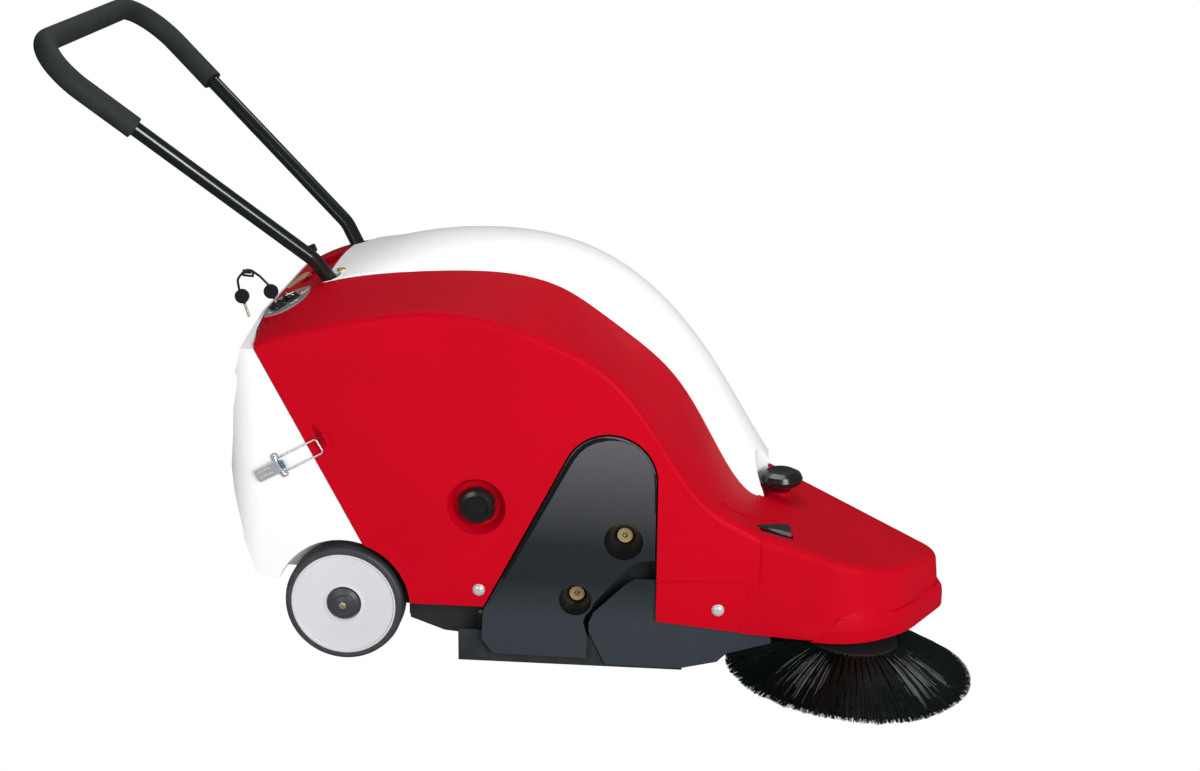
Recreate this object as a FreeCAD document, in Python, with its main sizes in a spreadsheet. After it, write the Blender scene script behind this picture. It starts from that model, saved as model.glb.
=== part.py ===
import FreeCAD, Part
import math
import os
import Sketcher
from FreeCAD import Placement, Rotation, Vector

# Walk-behind floor sweeper, in millimetres.
# X points forward, Y to the machine's left and Z up.
# The origin is on the floor, below the middle of the rear axle.

doc = FreeCAD.newDocument("walk_behind_sweeper")
sheet = doc.addObject("Spreadsheet::Sheet", "sizes")

# Driving dimensions: a word for each, its value, and what it measures
SIZES = (
    ("body_half_width", 300.0, "outer face of each side wall from the centre plane"),
    ("shell_wall", 5.0, "thickness of the moulded red shell"),
    ("hood_rear_half_width", 145.0, "half the hood's width at its rear edge"),
    ("hood_front_half_width", 95.0, "half the hood's width at its front edge"),
    ("hood_wall", 4.0, "thickness of the hood"),
    ("hood_gap", 1.5, "gap all round between hood and shell"),
    ("hood_rebate", 7.0, "depth of the step that the hood lies in"),
    ("hood_ledge", 20.0, "width of the ledge under the hood's edge"),
    ("cut_gap", 3.0, "gap between the red shell and the covers set into it"),
    ("shell_low_rear", 107.0, "height of the shell's bottom edge at the rear"),
    ("shell_low_front", 81.0, "height of the shell's bottom edge at the front"),
    ("seam_top_x", -139.0, "upper end of the slanted seam"),
    ("seam_top_z", 548.0, "height of the slanted seam's upper end"),
    ("seam_low_x", 35.5, "lower end of the slanted seam"),
    ("seam_low_z", 210.0, "height of the slanted seam's lower end"),
    ("seam_gap", 1.5, "gap between shell and waste container"),
    ("wheel_radius", 100.0, "rear wheel"),
    ("wheel_width", 50.0, "rear wheel"),
    ("disc_radius", 88.5, "light disc inside the tyre"),
    ("arch_gap", 13.0, "space round the rear wheel"),
    ("cap_radius", 28.0, "black hub cap"),
    ("axle_radius", 10.0, "rear axle"),
    ("running_gap", 0.25, "radial clearance of what turns on an axle"),
    ("tube_radius", 12.5, "handle tube"),
    ("grip_radius", 18.75, "foam grip over the handle tube"),
    ("handle_corner_x", -480.5, "where the arms would meet the cross bar"),
    ("handle_corner_y", 293.5, "half the handle's width over its corners"),
    ("handle_corner_z", 1015.5, "height of the cross bar"),
    ("handle_corner_bend", 80.0, "bend radius of the handle's corners"),
    ("handle_base_bend", 60.0, "bend radius where the arms leave the body"),
    ("brush_x", 393.0, "main brush axis ahead of the rear axle"),
    ("brush_z", 143.0, "main brush axis above the floor"),
    ("brush_radius", 141.0, "main brush over its bristles"),
    ("brush_core_radius", 42.0, "main brush roller"),
    ("cover_space", 47.0, "space between a side wall's outer face and the chassis side plate"),
    ("brush_end_gap", 6.0, "space between the main brush and the inner side plates"),
    ("spindle_radius", 11.5, "main brush stub axle"),
    ("tunnel_gap", 11.0, "space between main brush and its tunnel"),
    ("sheet_metal", 4.0, "chassis plate"),
    ("side_brush_x", 843.0, "side brush centre ahead of the rear axle"),
    ("side_brush_inset", 42.0, "side brush centre inside the right-hand wall's outer face"),
    ("side_brush_radius", 206.0, "side brush over its bristle tips"),
    ("side_disc_radius", 80.0, "side brush disc"),
    ("side_disc_low", 58.0, "height of the disc's underside"),
    ("side_disc_thick", 9.0, "side brush disc"),
    ("side_brush_tilt", 4.0, "degrees that the side brush leans forward"),
    ("castor_x", 622.0, "swivel axis of the front castor"),
    ("castor_y", 40.0, "swivel axis to the left"),
    ("castor_radius", 40.0, "front castor wheel"),
    ("castor_width", 28.0, "front castor wheel"),
    ("castor_trail", 26.0, "castor wheel axle behind the swivel axis"),
    ("container_wall", 4.5, "waste container"),
    ("battery_length", 250.0, "battery block"),
    ("battery_width", 180.0, "battery block"),
    ("battery_height", 210.0, "battery block"),
    ("tray_z", 300.0, "underside of the tray over the dust duct"),
    ("nose_rim_z", 80.0, "height of the nose's rim above the floor"),
    ("nose_top_z", 248.0, "height of the nose's top where the hood ends"),
    ("nose_slope", 0.262, "fall of the nose's top for each length forward"),
    ("nose_draft", 20.0, "how far the nose's walls lean in up to its top"),
    ("nose_round", 15.0, "rounding of the nose's upper edge"),
    ("crease_round", 14.0, "rounding of the crease over each side wall"),
    ("flange_out", 6.0, "how far the band round the nose's rim stands out"),
    ("flange_high", 40.0, "height of the band round the nose's rim"),
    ("pad_rise", 1.2, "raised pad round the front screw"),
    ("nose_front_x", 1003.0, "foremost point of the nose's rim"),
    ("hood_front_x", 699.0, "front edge of the hood"),
    ("hood_rear_x", -50.0, "rear edge of the hood"),
    ("cover_proud", 1.0, "how far the side covers stand out of the shell's walls"),
    ("cover_skin", 6.0, "side covers"),
    ("funnel_depth", 38.0, "depth of the two funnels in the belt cover"),
    ("bush_radius", 12.5, "brass bush at the end of each funnel"),
    ("seal_low_z", 4.0, "lower edge of the rubber side seals"),
    ("flap_low_z", 5.0, "lower edge of the rubber flaps across the machine"),
    ("rubber_thick", 3.0, "seals and flaps"),
    ("knob_radius", 32.0, "star knob"),
    ("dish_radius", 48.0, "round recess behind the star knob"),
    ("dish_depth", 20.0, "round recess behind the star knob"),
    ("hand_knob_radius", 38.0, "round knob on the nose"),
    ("hand_knob_x", 722.0, "round knob ahead of the rear axle"),
    ("hand_knob_y", 58.0, "round knob to the right"),
    ("screw_radius", 7.5, "dome head of the shell's screws"),
    ("latch_wire", 1.4, "radius of the latch's wire loop"),
    ("panel_thick", 2.5, "control panel plate"),
    ("key_head_radius", 12.0, "round head of each key"),
    ("motor_radius", 48.0, "drive motor over the main brush"),
)


def fill_sheet():
    for row, (word, value, meaning) in enumerate(SIZES, start=1):
        sheet.set("A%d" % row, word)
        sheet.set("B%d" % row, str(value))
        sheet.set("C%d" % row, meaning)
        sheet.setAlias("B%d" % row, word)
    doc.recompute()


fill_sheet()


def size(word):
    return float(sheet.get(word))


SUB_PARTS = []


# Helpers that add one named sub-part each

def feature(label, shape, place=None):
    """A sub-part whose shape is worked out from the sheet's sizes."""
    part = doc.addObject("Part::Feature", label)
    part.Shape = shape
    part.Label = label
    if place is not None:
        part.Placement = place
    SUB_PARTS.append(part)
    return part


def bound(part, label, bindings, place):
    """A primitive whose sizes follow the sheet."""
    for name, expression in bindings.items():
        part.setExpression(name, expression)
    part.Label = label
    part.Placement = place
    SUB_PARTS.append(part)
    return part


def cylinder(label, radius, height, base, axis):
    """A round bar from base along axis; radius and height are expressions."""
    part = doc.addObject("Part::Cylinder", label)
    turn = Rotation(Vector(0, 0, 1), axis)
    return bound(part, label, {"Radius": radius, "Height": height}, Placement(base, turn))


def block(label, length, width, height, corner):
    part = doc.addObject("Part::Box", label)
    sizes = {"Length": length, "Width": width, "Height": height}
    return bound(part, label, sizes, Placement(corner, Rotation()))


def number(value):
    """A number, or the value of an expression on the sheet."""
    if isinstance(value, str):
        return float(sheet.evalExpression(value))
    return float(value)


def pin_corner(sketch, line, kind, axis, value):
    """Ties the start of a sketch line to a distance from the origin."""
    distance = number(value)
    if distance == 0.0:
        sketch.addConstraint(Sketcher.Constraint("PointOnObject", line, 1, axis))
        return
    index = sketch.addConstraint(Sketcher.Constraint(kind, -1, 1, line, 1, distance))
    if isinstance(value, str):
        sketch.setExpression("Constraints[%d]" % index, value)


def draw_outline(sketch, outline):
    """Closed outline in a sketch, each corner tied to numbers or expressions."""
    corners = [Vector(number(across_), number(up), 0) for across_, up in outline]
    count = len(corners)
    for line in range(count):
        sketch.addGeometry(Part.LineSegment(corners[line], corners[(line + 1) % count]), False)
    for line in range(count):
        sketch.addConstraint(Sketcher.Constraint("Coincident", line, 2, (line + 1) % count, 1))
    for line, (across_, up) in enumerate(outline):
        pin_corner(sketch, line, "DistanceX", -2, across_)
        pin_corner(sketch, line, "DistanceY", -1, up)


def turned_body(label, outline, place):
    """A body turned about its own upright axis from (radius, height) corners."""
    body = doc.addObject("PartDesign::Body", label)
    sketch = body.newObject("Sketcher::SketchObject", label + "_profile")
    plane = [item for item in body.Origin.OriginFeatures if item.Role == "XZ_Plane"][0]
    sketch.AttachmentSupport = [(plane, "")]
    sketch.MapMode = "FlatFace"
    draw_outline(sketch, outline)
    revolution = body.newObject("PartDesign::Revolution", label + "_turned")
    revolution.Profile = sketch
    revolution.ReferenceAxis = (sketch, ["V_Axis"])
    revolution.Angle = 360
    body.Label = label
    body.Placement = place
    SUB_PARTS.append(body)
    return body


# Helpers for shapes

def outline_xz(points, y=0.0):
    """Closed outline seen from the side, through points of (x, z)."""
    corners = [Vector(x, y, z) for x, z in points]
    return Part.makePolygon(corners + [corners[0]])


def across(points, y_from, y_to):
    """A side outline made solid from y_from to y_to."""
    face = Part.Face(outline_xz(points, y_from))
    return face.extrude(Vector(0, y_to - y_from, 0))


def rod(radius, start, end):
    """A round bar between two points."""
    along = end - start
    return Part.makeCylinder(radius, along.Length, start, along)


def mirrored(shape):
    """The same shape on the other side of the centre plane."""
    return shape.mirror(Vector(0, 0, 0), Vector(0, 1, 0))


def corner_arc(before, corner, after, radius):
    """First, middle and last point of the arc that rounds a corner."""
    back = (before - corner).normalize()
    ahead = (after - corner).normalize()
    half_turn = back.getAngle(ahead) / 2.0
    reach = radius / math.tan(half_turn)
    bisector = (back + ahead).normalize()
    centre = corner + bisector * (radius / math.sin(half_turn))
    return corner + back * reach, centre - bisector * radius, corner + ahead * reach


def rounded_wire(points, radii):
    """Straight runs through points, with an arc at each inner point that has a radius."""
    edges = []
    start = points[0]
    for index in range(1, len(points) - 1):
        radius = radii[index - 1]
        if radius == 0:
            edges.append(Part.LineSegment(start, points[index]).toShape())
            start = points[index]
            continue
        first, middle, last = corner_arc(points[index - 1], points[index], points[index + 1], radius)
        edges.append(Part.LineSegment(start, first).toShape())
        edges.append(Part.Arc(first, middle, last).toShape())
        start = last
    edges.append(Part.LineSegment(start, points[-1]).toShape())
    return Part.Wire(edges)


def swept_round(wire, radius):
    """A round bar along a wire of straight runs and arcs."""
    pieces = []
    for edge in wire.OrderedEdges:
        start = edge.valueAt(edge.FirstParameter)
        end = edge.valueAt(edge.LastParameter)
        if isinstance(edge.Curve, Part.Line):
            pieces.append(rod(radius, start, end))
            continue
        disc = Part.Face(Part.Wire(Part.makeCircle(radius, start, edge.tangentAt(edge.FirstParameter))))
        angle = math.degrees(edge.LastParameter - edge.FirstParameter)
        pieces.append(disc.revolve(edge.Curve.Center, edge.Curve.Axis, angle))
    return pieces[0].fuse(pieces[1:]).removeSplitter()


# Side view of the body: at each station along X, the heights of the crease over the
# right-hand wall and over the left-hand wall, of the seam beside the hood, and of the
# hood's crest. At the front the right-hand band flattens out into the nose.
STATIONS = (
    (-145.0, 540.0, 540.0, 571.0, 576.0),
    (-50.0, 574.0, 574.0, 614.0, 624.0),
    (80.0, 602.0, 602.0, 634.0, 664.0),
    (220.0, 605.0, 605.0, 638.0, 679.0),
    (360.0, 560.0, 560.0, 605.0, 659.0),
    (480.0, 474.0, 474.0, 518.0, 592.0),
    (580.0, 325.0, 325.0, 397.0, 482.0),
    (650.0, 272.0, 245.0, 275.0, 371.0),
    (692.0, 250.0, 195.0, 247.0, 290.0),
)
SHELL_FRONT_X = STATIONS[-1][0]
SHELL_REAR_X = STATIONS[0][0]


def hood_half_width(x):
    """The hood tapers evenly from its rear edge to its front edge."""
    rear = size("hood_rear_half_width")
    front = size("hood_front_half_width")
    share = (x - size("hood_rear_x")) / (size("hood_front_x") - size("hood_rear_x"))
    return rear + (front - rear) * max(share, 0.0)


def section_loft(sections):
    """A solid through closed sections, smooth lengthwise."""
    wires = [Part.makePolygon(points + [points[0]]) for points in sections]
    return Part.makeLoft(wires, True, False)


def creased_section(right, left, radius):
    """Cross section of the shell over both walls, with its two creases rounded."""
    first, middle, last = corner_arc(right[0], right[1], right[2], radius)
    third, top, fourth = corner_arc(left[0], left[1], left[2], radius)
    line = Part.LineSegment
    curves = [line(right[0], first), Part.Arc(first, middle, last), line(last, right[2]),
              line(right[2], left[0]), line(left[0], third), Part.Arc(third, top, fourth),
              line(fourth, left[2]), line(left[2], right[0])]
    return Part.Wire([curve.toShape() for curve in curves])


def shell_outside():
    half = size("body_half_width")
    low = size("nose_rim_z") - 10.0
    sections = []
    for x, right_crease, left_crease, seam, crest in STATIONS:
        inner = hood_half_width(x) + size("hood_gap")
        right = [Vector(x, -half, low), Vector(x, -half, right_crease), Vector(x, -inner, seam)]
        left = [Vector(x, inner, seam), Vector(x, half, left_crease), Vector(x, half, low)]
        sections.append(creased_section(right, left, size("crease_round")))
    return Part.makeLoft(sections, True, False)


def shell_inside():
    wall = size("shell_wall")
    half = size("body_half_width") - wall
    low = size("nose_rim_z") - 20.0
    drop = size("hood_rebate") + wall
    first_x = SHELL_REAR_X - 5.0
    last_x = SHELL_FRONT_X - wall
    sections = []
    for x, right_crease, left_crease, seam, crest in STATIONS:
        here = min(x, last_x)
        if x == SHELL_REAR_X:
            here = first_x
        inner = hood_half_width(x) + size("hood_gap") + wall
        floor = seam - drop
        right_top = min(right_crease - 1.3 * wall, floor + 1.0 * (half - inner))
        left_top = left_crease - 1.3 * wall
        right = [Vector(here, -half, low), Vector(here, -half, right_top), Vector(here, -inner, floor)]
        left = [Vector(here, inner, floor), Vector(here, half, left_top), Vector(here, half, low)]
        sections.append(creased_section(right, left, size("crease_round") - wall))
    return Part.makeLoft(sections, True, False)


def hood_channel():
    """The space that the hood takes, with the gap round it."""
    sections = []
    for x, right_crease, left_crease, seam, crest in STATIONS[1:]:
        here = x
        if x == STATIONS[1][0]:
            here = x - size("hood_gap")
        if x == SHELL_FRONT_X:
            here = size("hood_front_x") + size("hood_gap")
        half = hood_half_width(x) + size("hood_gap")
        floor = seam - 60.0
        top = crest + 60.0
        sections.append([Vector(here, -half, floor), Vector(here, half, floor),
                         Vector(here, half, top), Vector(here, -half, top)])
    return section_loft(sections).cut(seam_blade(-size("hood_rebate")))


def hood_opening():
    """The hole under the hood, inside its ledge."""
    ledge = size("hood_ledge")
    rear_x = 30.0
    front_x = size("hood_front_x") - 35.0
    rear = hood_half_width(rear_x) - ledge
    front = hood_half_width(front_x) - ledge
    plan = [Vector(rear_x, -rear, 150), Vector(front_x, -front, 150),
            Vector(front_x, front, 150), Vector(rear_x, rear, 150)]
    face = Part.Face(Part.makePolygon(plan + [plan[0]]))
    return face.extrude(Vector(0, 0, 700))


# Nose over the side brush

def nose_height(x):
    """Height of the nose's sloping top at x."""
    return size("nose_top_z") - size("nose_slope") * (x - SHELL_FRONT_X)


def rounded_outline(corners, radii):
    """Closed outline through corners, each rounded by its radius."""
    first = (corners[0] + corners[-1]) * 0.5
    wire = rounded_wire([first] + list(corners) + [first], radii)
    return Part.Wire(wire.OrderedEdges)


def nose_rim():
    """Plan outline of the nose at its rim, bulging over the side brush."""
    front = size("nose_front_x")
    half = size("body_half_width")
    corners = [Vector(662, -half - 3, 0), Vector(front - 153, -half - 25, 0),
               Vector(front - 71, -half + 38, 0), Vector(front + 10, -half + 188, 0), Vector(675, 130, 0)]
    return rounded_outline(corners, [0, 130.0, 150.0, 52.0, 0])


def rounded_top(solid, drop, radius):
    """Rounds the edge round the nose's sloping top."""
    def on_top(edge):
        return all(abs(corner.z - nose_height(corner.x) + drop) < 0.01 for corner in (
            edge.valueAt(edge.FirstParameter), edge.valueAt(edge.LastParameter),
            edge.valueAt(0.5 * (edge.FirstParameter + edge.LastParameter))))
    rim = [edge for edge in solid.Edges if on_top(edge) and edge.CenterOfMass.x > SHELL_FRONT_X]
    return solid.makeFillet(radius, rim)


def nose_solid(inset, rise, drop):
    """Nose volume: its rim drawn in by inset, from height rise, its top lower by drop."""
    low = size("nose_rim_z") + rise
    high = size("nose_top_z") + 40.0
    rim = nose_rim()
    if inset:
        rim = rim.makeOffset2D(-inset)
    lip = nose_rim().makeOffset2D(-inset - size("nose_draft"))
    rim.translate(Vector(0, 0, low))
    lip.translate(Vector(0, 0, high))
    body = Part.makeLoft([rim, lip], True, True)
    above = [(600, nose_height(600) - drop), (1100, nose_height(1100) - drop), (1100, 500), (600, 500)]
    capped = body.cut(across(above, -500, 300))
    return rounded_top(capped, drop, size("nose_round") - inset)


def nose_flange():
    """Thicker band round the nose's rim, fading into the wall at its top and its rear end."""
    low = size("nose_rim_z")
    out = size("flange_out")
    high = size("flange_high")
    levels = []
    for share, rise in ((1.0, 0.0), (1.0, 0.55), (0.8, 0.75), (-0.3, 1.0)):
        ring = nose_rim().makeOffset2D(out * share)
        ring.translate(Vector(0, 0, low + high * rise))
        levels.append(ring)
    band = Part.makeLoft(levels, True, True)
    rear_x = size("side_brush_x") - 75.0
    ends = [(rear_x, low - 10), (1200, low - 10), (1200, low + 60), (rear_x + 80, low + 60)]
    return band.common(across(ends, -500, 500))


def screw_pad():
    """Raised pad round the front screw, low on the right-hand wall."""
    rise = size("pad_rise")
    face = size("body_half_width") + rise
    return across([(520, 60), (675, 60), (675, 172), (526, 165)], -face, rise + 1 - face)


def below_shell():
    """Everything under the shell's bottom edge, seen from the side."""
    low_rear = size("shell_low_rear")
    low_front = size("shell_low_front")
    edge = [(-600, low_rear), (237, low_rear), (521, low_front + 14), (672, low_front),
            (760, size("nose_rim_z")), (1200, size("nose_rim_z"))]
    return across(edge + [(1200, -100), (-600, -100)], -500, 500)


def seam_direction():
    top = Vector(size("seam_top_x"), 0, size("seam_top_z"))
    low = Vector(size("seam_low_x"), 0, size("seam_low_z"))
    return (low - top).normalize()


def seam_x(z, ahead=0.0):
    """X of the slanted seam at height z, moved ahead of it."""
    along = seam_direction()
    share = (z - size("seam_low_z")) / along.z
    return size("seam_low_x") + share * along.x + ahead


def behind_seam():
    top_z = size("seam_top_z")
    points = [(seam_x(-100), -100), (seam_x(top_z), top_z), (SHELL_REAR_X, top_z + 12),
              (SHELL_REAR_X, 900), (-600, 900), (-600, -100)]
    return across(points, -500, 500)


def wheel_arch(extra=0.0):
    radius = size("wheel_radius") + size("arch_gap") + extra
    return Part.makeCylinder(radius, 1000, Vector(0, -500, size("wheel_radius")), Vector(0, 1, 0))


# Belt cover outline, with a round head and a straight rear edge
COVER_HEAD = (445.0, 338.0)
COVER_HEAD_RADIUS = 76.0
COVER_FOOT_REAR = (236.0, 100.0)


def cover_outline(grow):
    """Upper outline of the belt cover, as a closed face pushed out by grow."""
    cx, cz = COVER_HEAD
    radius = COVER_HEAD_RADIUS
    foot_x, foot_z = COVER_FOOT_REAR
    reach = math.hypot(cx - foot_x, cz - foot_z)
    lean = math.atan2(cz - foot_z, cx - foot_x) + math.asin(radius / reach)
    square = lean + math.pi / 2
    touch = Vector(cx + radius * math.cos(square), 0, cz + radius * math.sin(square))
    crown = Vector(cx + radius * math.cos(math.radians(80)), 0, cz + radius * math.sin(math.radians(80)))
    front = Vector(cx + radius, 0, cz)
    foot = Vector(foot_x, 0, foot_z)
    edges = [Part.LineSegment(foot, touch).toShape(), Part.Arc(touch, crown, front).toShape(),
             Part.LineSegment(front, Vector(front.x, 0, 202)).toShape()]
    return edges, foot, Vector(front.x, 0, 202)


def cover_plate(low_points, thick, y_outer, grow):
    """The cover made solid inward from y_outer on the right-hand side."""
    edges, foot, front_end = cover_outline(grow)
    corners = [front_end] + [Vector(x, 0, z) for x, z in low_points] + [foot]
    for first, second in zip(corners, corners[1:]):
        edges.append(Part.LineSegment(first, second).toShape())
    wire = Part.Wire(edges)
    if grow:
        wire = wire.makeOffset2D(grow)
    face = Part.Face(wire)
    face.translate(Vector(0, y_outer, 0))
    return face.extrude(Vector(0, thick, 0))


def front_opening():
    """The way from the body into the hollow nose, under the nose's top."""
    top = nose_height(SHELL_FRONT_X) - 23.0
    return Part.makeBox(40, 390, top, Vector(SHELL_FRONT_X - 30, -size("body_half_width") + 10, 0))


KNOB_SEAT = 6.0


def knob_boss():
    """Raised seat of the round knob on the nose's top."""
    base = Vector(size("hand_knob_x"), -size("hand_knob_y"), nose_height(size("hand_knob_x")) - 8)
    return Part.makeCylinder(18.0, 8 + KNOB_SEAT, base)


def hinge_relief():
    """Room behind the hinge for the hood's rear edge as the hood opens."""
    return Part.makeBox(8.0, 214.0, 12.0, Vector(HINGE_X - 14.5, -107.0, HINGE_Z - 2.8))


def nose_slot(ease):
    """Slot in the nose's top, drawn in by ease."""
    x, y = 690.0, -262.0
    return Part.makeBox(55 - 2 * ease, 22 - 2 * ease, 60, Vector(x + ease, y + ease, 205 + ease))


# Control panel on the sloping band behind the hood: its middle, its length along
# the machine's slant, and the direction that it faces
PANEL_MIDDLE = Vector(-106.0, -175.0, 586.0)
PANEL_ALONG = Vector(0.6387, 0.678, 0.3636)
PANEL_FACING = Vector(-0.326, -0.195, 0.925)
PANEL_HALF_LENGTH = 50.0
PANEL_BULGE = 31.0


def panel_place(along=0.0, beside=0.0, above=0.0):
    """Placement on the panel, with local X along it and local Z facing out."""
    side = PANEL_FACING.cross(PANEL_ALONG)
    turn = Rotation(PANEL_ALONG, side, PANEL_FACING, "ZXY")
    return Placement(PANEL_MIDDLE, turn).multiply(Placement(Vector(along, beside, above), Rotation()))


def leaf(half_length, bulge, thick, above):
    """Pointed oval between two arcs."""
    rear = Vector(-half_length, 0, above)
    front = Vector(half_length, 0, above)
    upper = Part.Arc(rear, Vector(0, bulge, above), front).toShape()
    lower = Part.Arc(front, Vector(0, -bulge, above), rear).toShape()
    return Part.Face(Part.Wire([upper, lower])).extrude(Vector(0, 0, thick))


def panel_pad():
    pad = leaf(PANEL_HALF_LENGTH + 3, PANEL_BULGE + 3, 14.0, -14.3)
    pad.Placement = panel_place()
    return pad


def panel_seat():
    """Shallow recess that the panel lies in, open above."""
    seat = leaf(PANEL_HALF_LENGTH + 0.5, PANEL_BULGE + 0.5, 40.0, -0.3)
    seat.Placement = panel_place()
    return seat


DISH_CENTRE = (226.0, 283.0)


def knob_dish(grow):
    """Round recess for the star knob in the right-hand wall, pushed out by grow."""
    x, z = DISH_CENTRE
    half = size("body_half_width")
    depth = size("dish_depth")
    radius = size("dish_radius")
    base = Vector(x, -half - 1 + grow / 2, z)
    return Part.makeCone(radius + grow + 1, radius - 9 + grow, depth + 1 + grow / 2, base, Vector(0, 1, 0))


def cowl_recess(grow):
    """Hand recess in the red cowl, between the arms and behind the hood."""
    low = 586.0 - grow
    points = [(-112 - grow, 640), (-104 - grow, low), (-70 + grow, low + 8), (-58 + grow, 640)]
    return across(points, -88 - grow, 88 + grow)


def body_shell():
    outside = shell_outside()
    inside = shell_inside()
    nose = nose_solid(0.0, 0.0, 0.0)
    nose = nose.fuse(nose_flange())
    nose = nose.cut(nose_solid(size("shell_wall"), -20.0, size("shell_wall") + 1))
    nose = nose.cut(inside)
    shell = outside.cut(inside)
    shell = shell.fuse(nose).fuse(screw_pad())
    wall = size("shell_wall")
    shell = shell.fuse(knob_dish(wall).common(outside)).cut(knob_dish(0.0))
    shell = shell.fuse(cowl_recess(wall).common(outside)).cut(cowl_recess(0.0))
    shell = shell.fuse(panel_pad()).fuse(knob_boss()).cut(panel_seat()).cut(nose_slot(0.0))
    shell = shell.cut(front_opening())
    shell = shell.cut(hood_channel())
    shell = shell.cut(hood_opening())
    shell = shell.cut(below_shell())
    shell = shell.cut(behind_seam())
    shell = shell.cut(wheel_arch())
    shell = shell.cut(hinge_relief())
    face = size("body_half_width")
    window = cover_plate([(521, 60), (200, 60)], 80, -face - 60, size("cut_gap"))
    shell = shell.cut(window).cut(mirrored(window))
    for side in (-1, 1):
        shell = shell.cut(handle_hole(side))
    return shell.removeSplitter()


# Handle, of one bent tube with a foam grip

def handle_points(side):
    return [Vector(12, side * 82, size("tray_z") + size("sheet_metal")), Vector(12, side * 82, 520),
            Vector(-69, side * 137, 651),
            Vector(size("handle_corner_x"), side * size("handle_corner_y"), size("handle_corner_z"))]


def handle_path():
    right = handle_points(-1)
    left = handle_points(1)
    left.reverse()
    base = size("handle_base_bend")
    corner = size("handle_corner_bend")
    return rounded_wire(right + left, [base, base, corner, corner, base, base])


def handle_hole(side):
    """Hole in the shell for one arm of the handle."""
    points = handle_points(side)
    start = points[1] + (points[2] - points[1]) * 0.25
    end = points[2] + (points[2] - points[1]) * 0.6
    return rod(size("tube_radius") + 1.0, start, end)


def grip_path():
    right = handle_points(-1)
    left = handle_points(1)
    share = 0.64
    start = right[2] + (right[3] - right[2]) * share
    end = left[2] + (left[3] - left[2]) * share
    corner = size("handle_corner_bend")
    return rounded_wire([start, right[3], left[3], end], [corner, corner])


def make_handle():
    tube = swept_round(handle_path(), size("tube_radius"))
    feature("handle_tube", tube)
    grip = swept_round(grip_path(), size("grip_radius"))
    bore = swept_round(grip_path(), size("tube_radius"))
    feature("handle_grip", grip.cut(bore))


# Hood

EDGE_ROUND = 5.0


def hood_section(x, seam, crest, half, lower):
    """Arched section of the hood with rounded edges, closed along its foot."""
    rise = crest - seam
    radius = (half * half + rise * rise) / (2 * rise)
    shoulder = half - EDGE_ROUND
    shoulder_z = crest - lower - radius + math.sqrt(radius * radius - shoulder * shoulder)
    curves = []
    for side in (-1, 1):
        low = Vector(x, side * half, seam - lower - EDGE_ROUND)
        high = Vector(x, side * shoulder, shoulder_z)
        corner = Vector(x, side * half, seam - lower)
        middle = corner + ((low + high) * 0.5 - corner) * 0.586
        curves.append((low, middle, high))
    left, right = curves
    foot_right = Vector(x, half, seam - 40)
    foot_left = Vector(x, -half, seam - 40)
    top = Vector(x, 0, crest - lower)
    pieces = [Part.Arc(left[0], left[1], left[2]), Part.Arc(left[2], top, right[2]),
              Part.Arc(right[2], right[1], right[0]), Part.LineSegment(right[0], foot_right),
              Part.LineSegment(foot_right, foot_left), Part.LineSegment(foot_left, left[0])]
    return Part.Wire([piece.toShape() for piece in pieces])


def hood_volume(lower, narrow, front_shift, rear_shift):
    sections = []
    for x, right_crease, left_crease, seam, crest in STATIONS[1:]:
        here = x
        if x == SHELL_FRONT_X:
            here = size("hood_front_x") + front_shift
        if x == STATIONS[1][0]:
            here = x + rear_shift
        half = hood_half_width(x) - narrow
        sections.append(hood_section(here, seam, crest, half, lower))
    return Part.makeLoft(sections, True, False)


def seam_blade(lift):
    """Everything under the hood's edge, level across the machine."""
    points = []
    for x, right_crease, left_crease, seam, crest in STATIONS[1:]:
        here = x
        if x == SHELL_FRONT_X:
            here = size("hood_front_x") + 5
        if x == STATIONS[1][0]:
            here = x - 5
        points.append(Vector(here, -400, seam + lift))
    curve = Part.BSplineCurve()
    curve.interpolate(points)
    first, last = points[0], points[-1]
    low_front = Vector(last.x, -400, 0)
    low_rear = Vector(first.x, -400, 0)
    edges = [curve.toShape(), Part.LineSegment(last, low_front).toShape(),
             Part.LineSegment(low_front, low_rear).toShape(), Part.LineSegment(low_rear, first).toShape()]
    return Part.Face(Part.Wire(edges)).extrude(Vector(0, 800, 0))


HINGE_X = -45.0
HINGE_Z = 613.2
HINGE_PIN = 2.4
KNUCKLE = 4.2
GROMMET = Vector(-30.0, -100.0, 618.0)


def hood_knuckles():
    """Rolled knuckles at the hood's rear edge, with webs up into the hood."""
    knuckles = []
    for y in (-98.0, 42.0):
        barrel = Part.makeCylinder(KNUCKLE, 56, Vector(HINGE_X, y, HINGE_Z), Vector(0, 1, 0))
        web = Part.makeBox(4, 56, 6.5, Vector(HINGE_X - 2, y, HINGE_Z))
        knuckles.append(barrel.fuse(web))
    return knuckles


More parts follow.
